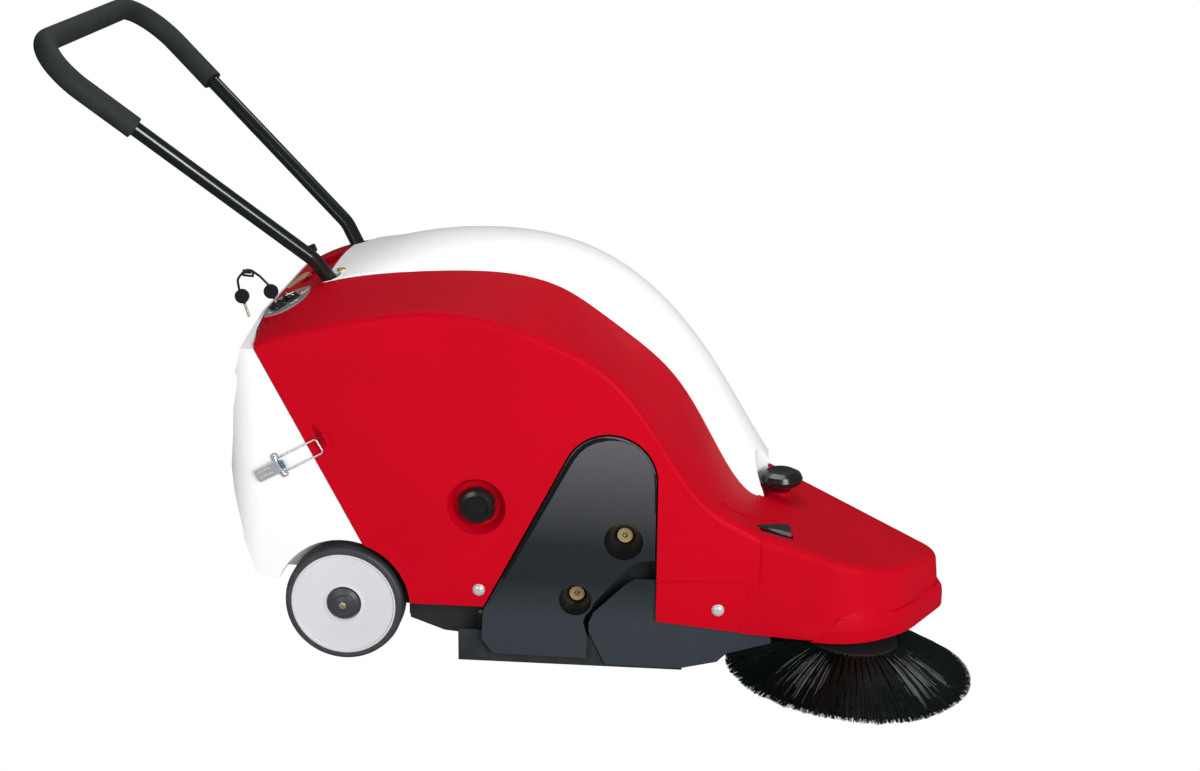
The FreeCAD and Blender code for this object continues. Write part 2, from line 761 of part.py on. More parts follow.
def hood():
    wall = size("hood_wall")
    knob = Vector(size("hand_knob_x"), -size("hand_knob_y"), 200)
    clear = size("hand_knob_radius") + 8
    skin = hood_volume(0.0, 0.0, 0.0, 0.0).cut(Part.makeCylinder(clear, 300, knob))
    room = hood_volume(wall * 1.2, wall, -wall, wall).cut(Part.makeCylinder(clear + wall, 300, knob))
    skin = skin.cut(room)
    skin = skin.cut(seam_blade(0.3 - size("hood_rebate")))
    rear = size("hood_rear_x")
    notch = Part.makeBox(44, 80, 200, Vector(rear - 12, 101, 520))
    skin = skin.cut(notch).cut(mirrored(notch))
    skin = skin.cut(Part.makeBox(12, 320, 60, Vector(rear - 2, -160, HINGE_Z - 60.3)))
    skin = skin.cut(Part.makeBox(15, 82, 60, Vector(rear - 4, -41, HINGE_Z - 55)))
    skin = skin.fuse(hood_knuckles())
    bore = Part.makeCylinder(HINGE_PIN + 0.1, 320, Vector(HINGE_X, -160, HINGE_Z), Vector(0, 1, 0))
    skin = skin.cut(bore)
    return skin.cut(Part.makeCylinder(8.05, 30, GROMMET - Vector(0, 0, 10)))


def make_hood():
    feature("hood", hood())
    ring = Part.makeCylinder(8.0, 9, GROMMET).cut(Part.makeCylinder(4.0, 9, GROMMET))
    feature("hood_grommet", ring)
    pin = Part.makeCylinder(HINGE_PIN, 200, Vector(HINGE_X, -100, HINGE_Z), Vector(0, 1, 0))
    barrel = Part.makeCylinder(KNUCKLE, 78, Vector(HINGE_X, -39, HINGE_Z), Vector(0, 1, 0))
    foot = Part.makeBox(3, 78, 4.2, Vector(HINGE_X - 2, -39, HINGE_Z - 4.2))
    feature("hood_hinge", pin.fuse(barrel).fuse(foot))


# Chassis

CONTAINER_FLOOR = 142.0


def plate_xz(points, thick, y_outer):
    return across(points, y_outer, y_outer + thick)


def side_plate_y():
    """Inner face of the chassis side plates."""
    return size("body_half_width") - size("cover_space")


def brush_half_width():
    return side_plate_y() - size("brush_end_gap")


def wheel_inner_y():
    """Inner face of the rear wheels."""
    return size("body_half_width") - size("wheel_width")


def brush_tunnel():
    """Arched cover over the main brush, open below and to the rear."""
    centre_x, centre_z = size("brush_x"), size("brush_z")
    inner = size("brush_radius") + size("tunnel_gap")
    outer = inner + size("sheet_metal")
    reach = side_plate_y()
    base = Vector(centre_x, -reach, centre_z)
    ring = Part.makeCylinder(outer, 2 * reach, base, Vector(0, 1, 0))
    ring = ring.cut(Part.makeCylinder(inner, 2 * reach, base, Vector(0, 1, 0)))
    front = [(centre_x, centre_z), (centre_x, centre_z + 300), (centre_x + 300, centre_z + 300),
             (centre_x + 300, centre_z - 60), (centre_x + 100, centre_z - 60)]
    return ring.common(across(front, -reach, reach))


def side_plates():
    inner = side_plate_y()
    outline = [(106, 64), (164, 43), (186, 41), (560, 41), (560, 90), (684, 110), (672, 170), (560, 330),
               (106, 330)]
    plate = plate_xz(outline, size("sheet_metal") + 1, -inner - size("sheet_metal") - 1)
    return [plate, mirrored(plate)]


def dust_duct():
    """Floor and side walls between the main brush and the waste container."""
    metal = size("sheet_metal")
    reach = side_plate_y()
    tray = size("tray_z")
    ramp = across([(106, 140), (150, 140), (236, 42), (231, 42), (148, 136), (106, 136)], -reach, reach)
    shelf = wheel_inner_y() - 6
    rear = across([(106, 64), (106, 140), (60, 140), (60, 136), (102, 136), (102, 64)], -shelf, shelf)
    walls = []
    for y in (-shelf + 4, shelf - 8):
        wall = [(seam_x(142, 8), 136), (108, 136), (108, tray + metal), (seam_x(tray, 8), tray + metal)]
        walls.append(across(wall, y, y + metal))
    return [ramp, rear] + walls


def front_deck():
    """Plate under the nose, with the socket of the castor."""
    low = 118.0
    metal = size("sheet_metal")
    reach = side_plate_y()
    plan = [(535, -reach), (730, -reach), (730, 60), (684, 100), (684, reach), (535, reach)]
    corners = [Vector(x, y, low) for x, y in plan]
    deck = Part.Face(Part.makePolygon(corners + [corners[0]])).extrude(Vector(0, 0, metal))
    low_end = castor_plate_top() + 0.3
    socket_foot = Vector(size("castor_x"), size("castor_y"), low_end)
    socket = Part.makeCylinder(20, low + metal + 4 - low_end, socket_foot)
    return deck.fuse(socket)


def chassis():
    metal = size("sheet_metal")
    reach = side_plate_y()
    tray = size("tray_z")
    centre_x, centre_z = size("brush_x"), size("brush_z")
    crown = centre_z + size("brush_radius") + size("tunnel_gap")
    top = Part.makeBox(centre_x + 4 - seam_x(tray, 8), 2 * reach, metal,
                       Vector(seam_x(tray, 8), -reach, tray))
    front_wall = across([(centre_x, crown), (centre_x, tray + metal), (centre_x + 4, tray + metal),
                         (centre_x + 4, crown)], -reach, reach)
    pieces = side_plates() + dust_duct() + [front_wall, brush_tunnel(), front_deck()]
    runner = CONTAINER_FLOOR - 0.3
    for y in (4 - wheel_inner_y(), wheel_inner_y() - 10, -60, 56):
        web = across([(-20, 84), (104, 84), (104, 138), (62, runner), (10, runner), (-20, 116)], y, y + 6)
        pieces.append(web)
    frame = top.fuse(pieces)
    axle_z = size("wheel_radius")
    hole = Part.makeCylinder(size("axle_radius") + 0.1, 700, Vector(0, -350, axle_z), Vector(0, 1, 0))
    spindle = size("spindle_radius") + size("running_gap")
    frame = frame.cut(hole)
    frame = frame.cut(Part.makeCylinder(spindle, 700, Vector(centre_x, -350, centre_z), Vector(0, 1, 0)))
    bore = Part.makeCylinder(7.5 + size("running_gap"), 60, Vector(size("castor_x"), size("castor_y"), 80))
    return frame.cut(bore).removeSplitter()


def make_rubber():
    """Seals along both sides and flaps across the machine, before and behind the brush."""
    thick = size("rubber_thick")
    low = size("seal_low_z")
    face = size("body_half_width") - 10.7
    seal = [(192, low), (568, low), (568, 60), (192, 60)]
    right = across(seal, -face, -face + thick)
    feature("side_seals", Part.makeCompound([right, mirrored(right)]))
    flap_low = size("flap_low_z")
    reach = side_plate_y() - 1
    rear = Part.makeBox(thick, 2 * reach, 50, Vector(236.3, -reach, flap_low))
    front = Part.makeBox(thick, 2 * reach, 77.7, Vector(533.5, -reach, flap_low))
    feature("cross_flaps", Part.makeCompound([rear, front]))


# Waste container

def container_profile(grow):
    """Side outline of the container; grow draws its outer walls in."""
    wall = grow
    ahead = -size("seam_gap")
    rear = [(-116, CONTAINER_FLOOR), (-146, 150), (-158, 184), (-167, 206), (-168, 222), (-184, 285),
            (-190, 325), (-181, 385), (-178, 430), (-166, 484), (-171, 497), (-163, 522), (-153, 566)]
    top = [(SHELL_REAR_X - 1.6, 567), (SHELL_REAR_X - 1.6, 559.5)]
    front = [(seam_x(547, ahead), 547), (seam_x(150, ahead), 150), (60, CONTAINER_FLOOR)]
    if not wall:
        return rear + top + front
    wire = outline_xz(rear + top + front).makeOffset2D(-wall)
    points = [vertex.Point for vertex in wire.OrderedVertexes]
    return [(point.x, point.z) for point in points]


def container_roof(drop):
    """Everything under the shell's cross section at its rear end, lowered by drop."""
    x, right_crease, left_crease, seam, crest = STATIONS[0]
    half = size("body_half_width")
    inner = hood_half_width(x) + size("hood_gap")
    section = [(-half, -10), (-half, right_crease - drop), (-inner, seam - drop), (inner, seam - drop),
               (half, left_crease - drop), (half, -10)]
    corners = [Vector(-200, y, z) for y, z in section]
    return Part.Face(Part.makePolygon(corners + [corners[0]])).extrude(Vector(400, 0, 0))


def rounded_plan(inset):
    """Plan of the container, with rounded rear corners, as a tall block."""
    half = size("body_half_width") - inset
    rear = -195.0 + inset
    plan = Part.makeBox(400, 2 * half, 700, Vector(rear, -half, 0))
    upright = [edge for edge in plan.Edges if abs(edge.Vertexes[0].X - rear) < 1 and edge.Length > 690]
    return plan.makeFillet(60.0 - inset, upright)


def wheel_well(grow):
    radius = size("wheel_radius") + size("arch_gap") + 2 + grow
    inner = size("body_half_width") - size("wheel_width") - 10 - grow
    right = Part.makeCylinder(radius, 400, Vector(0, -inner - 400, size("wheel_radius")), Vector(0, 1, 0))
    return right.fuse(mirrored(right))


def container():
    half = size("body_half_width")
    wall = size("container_wall")
    outer = across(container_profile(0.0), -half, half).common(rounded_plan(0.0))
    outer = outer.common(container_roof(1.0)).cut(wheel_well(0.0))
    room = across(container_profile(wall), -half + wall, half - wall).common(rounded_plan(wall))
    room = room.common(container_roof(1.0 + wall))
    mouth_y = wheel_inner_y() - 22
    mouth = across([(seam_x(290, -12), 290), (seam_x(290, 60), 290), (seam_x(160, 60), 160),
                    (seam_x(160, -12), 160)], -mouth_y, mouth_y)
    room = room.fuse(mouth)
    room = room.cut(wheel_well(wall))
    return outer.cut(room).removeSplitter()


# Round parts, turned about their own axis

def turned(points, centre, axis_turn):
    """Revolve an outline of (radius, along) about the local Z axis."""
    corners = [Vector(radius, 0, along) for radius, along in points]
    face = Part.Face(Part.makePolygon(corners + [corners[0]]))
    solid = face.revolve(Vector(0, 0, 0), Vector(0, 0, 1), 360)
    solid.Placement = Placement(centre, axis_turn)
    return solid


def outward(side):
    """Turns local Z to point away from the machine on one side."""
    return Rotation(Vector(0, 0, 1), Vector(0, side, 0))


def make_wheel(name, side):
    """A rear wheel: rubber tyre, light plastic disc with hub, and hub cap."""
    place = Placement(Vector(0, side * wheel_inner_y(), size("wheel_radius")), outward(side))
    rim = "sizes.disc_radius"
    tread = "sizes.wheel_radius"
    face = "sizes.wheel_width"
    bore = "sizes.axle_radius + sizes.running_gap"
    cap = "sizes.cap_radius"
    turned_body("tyre_" + name, [
        (rim, 2), (tread + " - 4", 0), (tread + " - 1", 3), (tread, 9), (tread, face + " - 9"),
        (tread + " - 1.5", face + " - 3"), (tread + " - 5", face), (rim, face)], place)
    turned_body("wheel_disc_" + name, [
        (bore, 0), (24, 0), (26, face + " - 16"), (rim + " - 10", face + " - 12"), (rim + " - 8", 4),
        (rim, 4), (rim, face + " - 1"), (rim + " - 3", face + " - 0.5"), (rim + " - 5", face + " - 3"),
        (cap + " + 8", face + " - 4.5"), (cap + " + 2", face + " - 3"), (cap + " + 0.1", face + " - 8"),
        (bore, face + " - 8")], place)
    turned_body("hub_cap_" + name, [
        (0, face + " - 2"), (10, face + " - 2"), (10, face + " - 7.9"), (cap, face + " - 7.9"),
        (cap + " - 1", face + " - 2"), (cap + " - 7", face + " + 1"), (cap + " - 10", face + " + 2"),
        (cap + " - 13", face + " + 5"), (cap + " - 20", face + " + 7"), (0, face + " + 7")], place)


def side_brush_place():
    lean = Rotation(Vector(0, 1, 0), size("side_brush_tilt"))
    beside = size("side_brush_inset") - size("body_half_width")
    return Placement(Vector(size("side_brush_x"), beside, 0), lean)


def make_side_brush():
    place = side_brush_place()
    low = "sizes.side_disc_low"
    top = low + " + sizes.side_disc_thick"
    disc = "sizes.side_disc_radius"
    tip = "sizes.side_brush_radius"
    clear = "2 + sizes.side_brush_radius * tan(sizes.side_brush_tilt * 1 deg)"
    turned_body("side_brush_disc", [
        (0, low + " + 40"), (0, low), (disc, low), (disc, top + " - 3"), (disc + " - 4", top),
        (30, top + " + 4"), (14, top + " + 18"), (7, top + " + 18"), (7, low + " + 40")], place)
    turned_body("side_brush_bristles", [
        (disc + " - 3", low), (tip + " - 25", clear + " + 14"), (tip, clear), (tip + " - 20", clear),
        (disc + " - 30", low)], place)
    motor = top + " + 23"
    turned_body("side_brush_motor", [
        (7.25, motor), (MOTOR_CAN, motor), (MOTOR_CAN, motor + " + 62"), (30, motor + " + 66"),
        (0, motor + " + 66"), (0, motor + " + 16"), (7.25, motor + " + 16")], place)
    feature("side_brush_arm", side_brush_arm(place))


MOTOR_CAN = 36.0


def side_brush_arm(place):
    """Flat arm from the chassis to the ring that holds the side brush's motor."""
    low, thick = 122.3, 8.0
    ring_in, ring_out = MOTOR_CAN + 0.3, MOTOR_CAN + 3.0
    room = Part.makeCylinder(ring_in, 80, Vector(0, 0, 100))
    ring = Part.makeCylinder(ring_out, 14, Vector(0, 0, 122)).cut(room)
    room.Placement = place.multiply(room.Placement)
    ring.Placement = place.multiply(ring.Placement)
    middle = place.Base
    plan = [(-203, 48), (-188, 128), (-113, 108), (-13, 36), (-28, -26), (-113, 18)]
    corners = [Vector(middle.x + ahead, middle.y + beside, low) for ahead, beside in plan]
    bar = Part.Face(Part.makePolygon(corners + [corners[0]])).extrude(Vector(0, 0, thick))
    return bar.cut(room).fuse(ring)


def make_knobs():
    """Star knob in its dish, round knob on the nose, and the clamp knob by the handle."""
    x, z = DISH_CENTRE
    radius = size("knob_radius")
    dish = -size("body_half_width") + size("dish_depth")
    star = [(0.01, 0.3), (radius - 6, 0.3), (radius - 1, 5), (radius, 13), (radius - 5, 20),
            (radius - 12, 22), (radius - 15, 18), (0.01, 17)]
    knob = turned(star, Vector(x, dish, z), outward(-1))
    for index in range(6):
        angle = math.radians(60.0 * index)
        centre = Vector(x + (radius + 6) * math.cos(angle), dish, z + (radius + 6) * math.sin(angle))
        knob = knob.cut(Part.makeCylinder(9.5, 40, centre, Vector(0, -1, 0)))
    feature("brush_height_knob", knob)
    seat = nose_height(size("hand_knob_x")) + KNOB_SEAT
    wide = "sizes.hand_knob_radius"
    turned_body("nose_knob", [
        (0, 0.3), (14, 0.3), (wide + " - 12", 9), (wide + " - 2", 16), (wide, 23), (wide + " - 4", 31),
        (wide + " - 14", 36), (wide + " - 26", 34), (0, 33)],
        Placement(Vector(size("hand_knob_x"), -size("hand_knob_y"), seat), Rotation()))
    over = [(600, nose_height(600) - 4), (900, nose_height(900) - 4), (900, 400), (600, 400)]
    feature("nose_insert", nose_slot(0.3).cut(across(over, -400, 0)))
    foot = Vector(-66, -95, 609.9)
    head = Vector(-88, -95, 662.6)
    stem = rod(5.0, foot, head)
    bar = rod(6.0, head - Vector(0, 11, 0), head + Vector(0, 11, 0))
    feature("clamp_knob", stem.fuse(bar))


def make_panel():
    """Panel plate with its key switch, rocker switch, lamps and keys."""
    thick = size("panel_thick")
    plate = leaf(PANEL_HALF_LENGTH, PANEL_BULGE, thick, 0.0)
    feature("control_panel", plate, panel_place())
    key_at, rocker_at, block_side, block_high = -20.0, 8.0, 24.0, 9.0
    block_corner = Vector(-block_side / 2, -block_side / 2, thick)
    key_block = Part.makeBox(block_side, block_side, block_high, block_corner)
    feature("key_switch", key_block, panel_place(key_at))
    rocker = Part.makeBox(block_side, block_side, block_high, block_corner)
    feature("rocker_switch", rocker, panel_place(rocker_at))
    lamps = []
    for index in range(3):
        lamp = Part.makeCylinder(2.2, 1.8, Vector(27.0 + 4 * index, 9.0 - 6.0 * index, thick))
        lamps.append(lamp)
    feature("indicator_lamps", Part.makeCompound(lamps), panel_place())
    make_keys(panel_place(key_at, 0.0, thick + block_high))


def key_head(centre, radius, hang):
    """Round key head facing sideways, its stem towards hang."""
    disc = Part.makeCylinder(radius, 6, centre - Vector(0, 3, 0), Vector(0, 1, 0))
    return disc.fuse(rod(2.4, centre, centre + hang * (radius + 1.5)))


def key_blade(centre, radius, hang, length):
    start = centre + hang * (radius + 1.5)
    return rod(2.2, start, start + hang * length)


def make_keys(switch_top):
    """The key in its switch, a spare that hangs beside it, and the loop that joins them."""
    radius = size("key_head_radius")
    top = switch_top.Base
    up = switch_top.Rotation.multVec(Vector(0, 0, 1))
    head = top + up * (radius + 9.0)
    spare = Vector(-178.5, head.y, 599.0)
    down = Vector(11.5, 0, -38).normalize()
    y = head.y
    route = [Vector(spare.x - 4, y, spare.z + radius - 3), Vector(spare.x - 7, y, 628),
             Vector(-168, y, 648),
             Vector(-147, y, 634), Vector(head.x - 2, y, head.z + radius - 3)]
    loop = swept_round(rounded_wire(route, [14.0, 12.0, 14.0]), 2.0)
    tag = Part.makeBox(13, 3, 6, Vector(-174, y - 1.5, 638))
    heads = key_head(spare, radius, down).fuse([loop, key_head(head, radius, up * -1), tag])
    feature("key_heads", heads)
    blades = [key_blade(spare, radius, down, 23.0), key_blade(head, radius, up * -1, 7.3)]
    feature("key_blades", Part.makeCompound(blades))


# Latches between the waste container and the shell

LATCH_MIDDLE = (-99.5, 343.0)
LATCH_LEAN = 29.0


def latch_place(side):
    """Local X from the container towards the shell, local Z outward."""
    along = math.radians(LATCH_LEAN)
    forward = Vector(math.cos(along), 0, math.sin(along))
    out = Vector(0, side, 0)
    turn = Rotation(forward, out.cross(forward), out, "ZXY")
    x, z = LATCH_MIDDLE
    return Placement(Vector(x, side * size("body_half_width"), z), turn)


def latch_lever():
    base = Part.makeBox(30, 34, 1.5, Vector(-18, -17, 0.3))
    lever = Part.makeBox(46, 22, 1.5, Vector(-42, -11, 7.5))
    pieces = [lever]
    for y in (-17, 15):
        pieces.append(Part.makeBox(16, 2, 9, Vector(-8, y, 0.3)))
        pieces.append(Part.makeCylinder(2.5, 5.0, Vector(0, y - 1.5, 5.5), Vector(0, 1, 0)))
    for y in (-11, 9.5):
        pieces.append(Part.makeBox(44, 1.5, 5, Vector(-40, y, 3.0)))
    pieces.append(Part.makeCylinder(1.6, 34, Vector(0, -17, 5.5), Vector(0, 1, 0)))
    pieces.append(Part.makeBox(5, 5, 6, Vector(-2.5, -2.5, 1.0)))
    return base.fuse(pieces)


def latch_loop():
    wire = size("latch_wire")
    high = 5.5 + wire
    start = 2.0 + 2 * wire
    route = [Vector(start, -12.9, 4.5), Vector(15, -12.9, high), Vector(79, -12.9, high),
             Vector(79, 12.9, high), Vector(15, 12.9, high), Vector(start, 12.9, 4.5)]
    return swept_round(rounded_wire(route, [8.0, 5.0, 5.0, 8.0]), wire)


def latch_keeper():
    plate = Part.makeBox(26, 30, 1.5, Vector(72, -15, 0.3))
    hook = Part.makeBox(3, 18, 3, Vector(84, -9, 0.3))
    return plate.fuse(hook)


def make_latches():
    sides = (-1, 1)
    for label, shape in (("latch_levers", latch_lever), ("latch_loops", latch_loop),
                         ("latch_keepers", latch_keeper)):
        placed = []
        for side in sides:
            piece = shape()
            piece.Placement = latch_place(side)
            placed.append(piece)
        feature(label, Part.makeCompound(placed))


def make_main_brush():
    half = brush_half_width()
    centre = Vector(size("brush_x"), -half, size("brush_z"))
    turn = Rotation(Vector(0, 0, 1), Vector(0, 1, 0))
    place = Placement(centre, turn)
    length = "2 * (sizes.body_half_width - sizes.cover_space - sizes.brush_end_gap)"
    core = "sizes.brush_core_radius"
    spindle = "sizes.spindle_radius"
    stub = "sizes.brush_end_gap + sizes.sheet_metal + 1"
    turned_body("main_brush_roller", [
        (0, "-(" + stub + ")"), (spindle, "-(" + stub + ")"), (spindle, 0), (core, 0), (core, length),
        (spindle, length), (spindle, length + " + " + stub), (0, length + " + " + stub)], place)
    outer = size("brush_radius")
    inner = size("brush_core_radius")
    ring = Part.makeCylinder(outer, 2 * half - 6, Vector(0, 0, 3)).cut(Part.makeCylinder(inner, 2 * half))
    for index in range(8):
        groove = Part.makeBox(outer, 26, 2 * half, Vector(inner + 26, -13, 0))
        groove.rotate(Vector(0, 0, 0), Vector(0, 0, 1), index * 45.0)
        ring = ring.cut(groove)
    ring.Placement = place
    feature("main_brush_bristles", ring)


def castor_plate_top():
    return 2 * size("castor_radius") + 14.0


def make_castor():
    x, y = size("castor_x"), size("castor_y")
    radius = size("castor_radius")
    width = size("castor_width")
    trail = size("castor_trail")
    place = Placement(Vector(x - trail, y - width / 2, radius), Rotation(Vector(0, 0, 1), Vector(0, 1, 0)))
    axle = 5.0
    bore = "sizes.running_gap + %g" % axle
    tread = "sizes.castor_radius"
    face = "sizes.castor_width"
    turned_body("castor_wheel", [
        (bore, -1), (12, -1), (12, 3), (tread + " - 9", 4), (tread + " - 9", 0), (tread + " - 3", 0),
        (tread, 4), (tread, face + " - 4"), (tread + " - 3", face), (tread + " - 9", face),
        (tread + " - 9", face + " - 4"),
        (12, face + " - 3"), (12, face + " + 1"), (bore, face + " + 1")], place)
    top = castor_plate_top()
    half = width / 2 + 1.5
    plate = Part.makeCylinder(26, 5, Vector(x, y, top - 5))
    stem = Part.makeCylinder(7.5, 31, Vector(x, y, top - 5))
    pieces = [stem]
    for side in (-1, 1):
        y_low = y + half if side > 0 else y - half - 3
        cheek = across([(x - trail - 9, radius - 9), (x - trail + 9, radius - 9), (x + 18, top - 7),
                        (x + 18, top), (x - 24, top), (x - trail - 12, radius + 12)], y_low, y_low + 3)
        pieces.append(cheek)
    pieces.append(Part.makeBox(42, 2 * half + 6, 5, Vector(x - 24, y - half - 3, top - 5)))
    axle_end = Vector(x - trail, y - half - 3, radius)
    pieces.append(Part.makeCylinder(axle, 2 * half + 6, axle_end, Vector(0, 1, 0)))
    feature("castor_fork", plate.fuse(pieces))


# Funnels in the belt cover: x, z and the radius of each mouth
FUNNELS = ((469.0, 233.0, 32.0), (390.0, 126.0, 27.0))


def funnel(x, z, mouth, grow):
    """A funnel into the belt cover, pushed out by grow."""
    depth = size("funnel_depth")
    end = size("bush_radius") + 1.5 + grow
    base = Vector(x, -size("body_half_width") - size("cover_proud"), z)
    return Part.makeCone(mouth + grow, end, depth - 4 + grow, base, Vector(0, 1, 0))


def cover_with_rim(low):
    """Belt cover: a plate with a rim that reaches in to the chassis."""
    half = size("body_half_width")
    face = half + size("cover_proud")
    skin = cover_plate(low, size("cover_skin"), -face, 0.0)
    deep = face - (side_plate_y() + size("sheet_metal") + 1) - 0.3
    rim = cover_plate(low, deep, -face, 0.0).cut(cover_plate(low, deep, -face, -5.0))
    above = [(200, 62), (405, 62), (405, 172), (600, 172), (600, 500), (200, 500)]
    return skin.fuse(rim.common(across(above, -400, -100)))


def make_covers():
    half = size("body_half_width")
    low = [(496, 199), (480, 190), (414, 115), (403, 89), (410, 62), (409, 22), (252, 24), (233, 50)]
    plain = cover_with_rim(low)
    cover = plain
    bushes = []
    bush = size("bush_radius")
    for x, z, mouth in FUNNELS:
        cover = cover.fuse(funnel(x, z, mouth, 3.0))
    for x, z, mouth in FUNNELS:
        cover = cover.cut(funnel(x, z, mouth, 0.0))
        end = Vector(x, -side_plate_y() - size("sheet_metal") - 1.3, z)
        cover = cover.cut(Part.makeCylinder(bush + 0.3, 20, end - Vector(0, 10, 0), Vector(0, 1, 0)))
        ring = Part.makeCylinder(bush, 12, end, Vector(0, -1, 0))
        socket = Part.makeCylinder(5.0, 7, end - Vector(0, 5, 0), Vector(0, -1, 0))
        bushes.append(ring.cut(socket))
    feature("belt_cover", cover)
    feature("spindle_bushes", Part.makeCompound(bushes))
    feature("left_cover", mirrored(plain))
    skirt = [(440, 10), (412, 68), (412, 84), (420, 103), (472, 155), (488, 166), (686, 166), (686, 78),
             (714, 76), (714, 62), (642, 40), (626, 24), (568, 10)]
    right = plate_xz(skirt, 5, -half + 5.3)
    feature("front_skirts", Part.makeCompound([right, mirrored(right)]))


def make_screws():
    """Dome-headed screws low on both walls of the shell."""
    radius = size("screw_radius")
    dome = [(0.01, 0.0), (radius, 0.0), (radius, 1.0), (radius - 2, 3.2), (0.01, 4.2)]
    heads = []
    rise = {-1: size("pad_rise"), 1: 0.0}
    for side in (-1, 1):
        half = size("body_half_width")
        heads.append(turned(dome, Vector(229.0, side * half, 137.0), outward(side)))
        heads.append(turned(dome, Vector(626.0, side * (half + rise[side]), 120.0), outward(side)))
    feature("shell_screws", Part.makeCompound(heads))


def make_power_unit():
    tray = size("tray_z") + size("sheet_metal")
    block("battery", "sizes.battery_length", "sizes.battery_width", "sizes.battery_height",
          Vector(30, -size("battery_width") / 2, tray))
    cylinder("drive_motor", "sizes.motor_radius", "160", Vector(340, -80, tray + size("motor_radius") + 0.3),
             Vector(0, 1, 0))


def make_axle():
    """Rear axle with a collar against the inner face of each wheel."""
    place = Placement(Vector(0, 0, size("wheel_radius")), Rotation(Vector(0, 0, 1), Vector(0, 1, 0)))
    bar = "sizes.axle_radius"
    end = "(sizes.body_half_width - 9)"
    out = "(sizes.body_half_width - sizes.wheel_width - 0.3)"
    collar = out[:-1] + " - 3.4)"
    turned_body("rear_axle", [
        (0, "-" + end), (bar, "-" + end), (bar, "-" + out), (16, "-" + out), (16, "-" + collar),
        (bar, "-" + collar),
        (bar, collar), (16, collar), (16, out), (bar, out), (bar, end), (0, end)], place)


def build():
    feature("body_shell", body_shell())
    make_handle()
    make_hood()
    feature("chassis_frame", chassis())
    make_covers()
    make_axle()
    make_power_unit()
    make_wheel("right", -1)
    make_wheel("left", 1)
    make_castor()
    make_main_brush()
    make_side_brush()
    make_rubber()
    make_knobs()
    make_panel()
    make_screws()
    feature("waste_container", container())
    make_latches()


build()
doc.recompute()


def check(part):
    faults = [state for state in part.State if state in ("Invalid", "Error")]
    if faults:
        raise RuntimeError(part.Label + " is " + ", ".join(faults))
    if part.Shape.isNull() or not part.Shape.isValid():
        raise RuntimeError(part.Label + " has no valid shape")
    print("%-24s %2d solids %12.0f mm3" % (part.Label, len(part.Shape.Solids), part.Shape.Volume))


for part in SUB_PARTS:
    check(part)

os.makedirs("parts", exist_ok=True)
for part in SUB_PARTS:
    part.Shape.exportStep("parts/" + part.Label + ".step")
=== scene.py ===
# %% [markdown]
# # A walk-behind floor sweeper
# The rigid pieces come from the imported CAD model, already in metres and in their places.
# This file gives them their finishes, adds the brushes' bristles and the small trim,
# and sets up the camera and the studio.

# %% Load the frame
import math
import random

import bmesh
import bpy
from mathutils import Matrix, Vector, bvhtree, noise


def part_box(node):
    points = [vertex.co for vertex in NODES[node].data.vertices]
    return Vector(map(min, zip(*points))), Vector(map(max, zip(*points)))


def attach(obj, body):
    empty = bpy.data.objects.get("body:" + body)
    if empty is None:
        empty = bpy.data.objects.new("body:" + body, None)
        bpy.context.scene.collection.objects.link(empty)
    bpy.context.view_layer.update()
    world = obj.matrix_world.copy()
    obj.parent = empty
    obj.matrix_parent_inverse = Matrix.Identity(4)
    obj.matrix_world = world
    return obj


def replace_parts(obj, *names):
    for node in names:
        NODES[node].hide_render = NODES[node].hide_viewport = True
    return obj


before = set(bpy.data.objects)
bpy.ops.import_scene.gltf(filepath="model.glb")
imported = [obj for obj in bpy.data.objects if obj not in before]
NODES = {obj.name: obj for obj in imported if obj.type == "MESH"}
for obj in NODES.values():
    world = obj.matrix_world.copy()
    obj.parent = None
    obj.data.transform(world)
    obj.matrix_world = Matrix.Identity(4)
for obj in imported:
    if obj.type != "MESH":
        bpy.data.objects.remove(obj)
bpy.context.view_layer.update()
print("CAD nodes:", len(NODES))

# %% [markdown]
# ## Camera
# The view is a long lens from the machine's right, a little from the front and above.
# The camera's axes are worked out from three angles, and its place is in metres.

# %% Camera
CAMERA_PLACE = Vector((0.709, -3.5109, 1.5096))
AZIMUTH, ELEVATION, ROLL = (math.radians(angle) for angle in (5.01, 17.4, 0.58))
FOCAL_PIXELS, PICTURE_WIDTH, SENSOR = 2111.36, 1200, 36.0


def make_camera():
    """Turns the three angles into the camera's right, up and backward directions."""
    back = Vector((math.sin(AZIMUTH) * math.cos(ELEVATION),
                   -math.cos(AZIMUTH) * math.cos(ELEVATION), math.sin(ELEVATION)))
    level = Vector((math.cos(AZIMUTH), math.sin(AZIMUTH), 0))
    upright = back.cross(level)
    right = level * math.cos(ROLL) + upright * math.sin(ROLL)
    up = upright * math.cos(ROLL) - level * math.sin(ROLL)
    lens = bpy.data.cameras.new("camera")
    lens.sensor_width = SENSOR
    lens.lens = FOCAL_PIXELS / PICTURE_WIDTH * SENSOR
    camera = bpy.data.objects.new("camera", lens)
    camera.matrix_world = Matrix((right, up, back)).transposed().to_4x4()
    camera.location = CAMERA_PLACE
    bpy.context.scene.collection.objects.link(camera)
    bpy.context.scene.camera = camera
    print("lens in mm:", round(lens.lens, 1))


make_camera()

# %% [markdown]
# ## Shader maths
# A material is a small network. Writing it as Python expressions keeps it readable:
# a Wire holds one output socket, and + - * / on wires add Math nodes.
# Every other node comes from its one method, node().

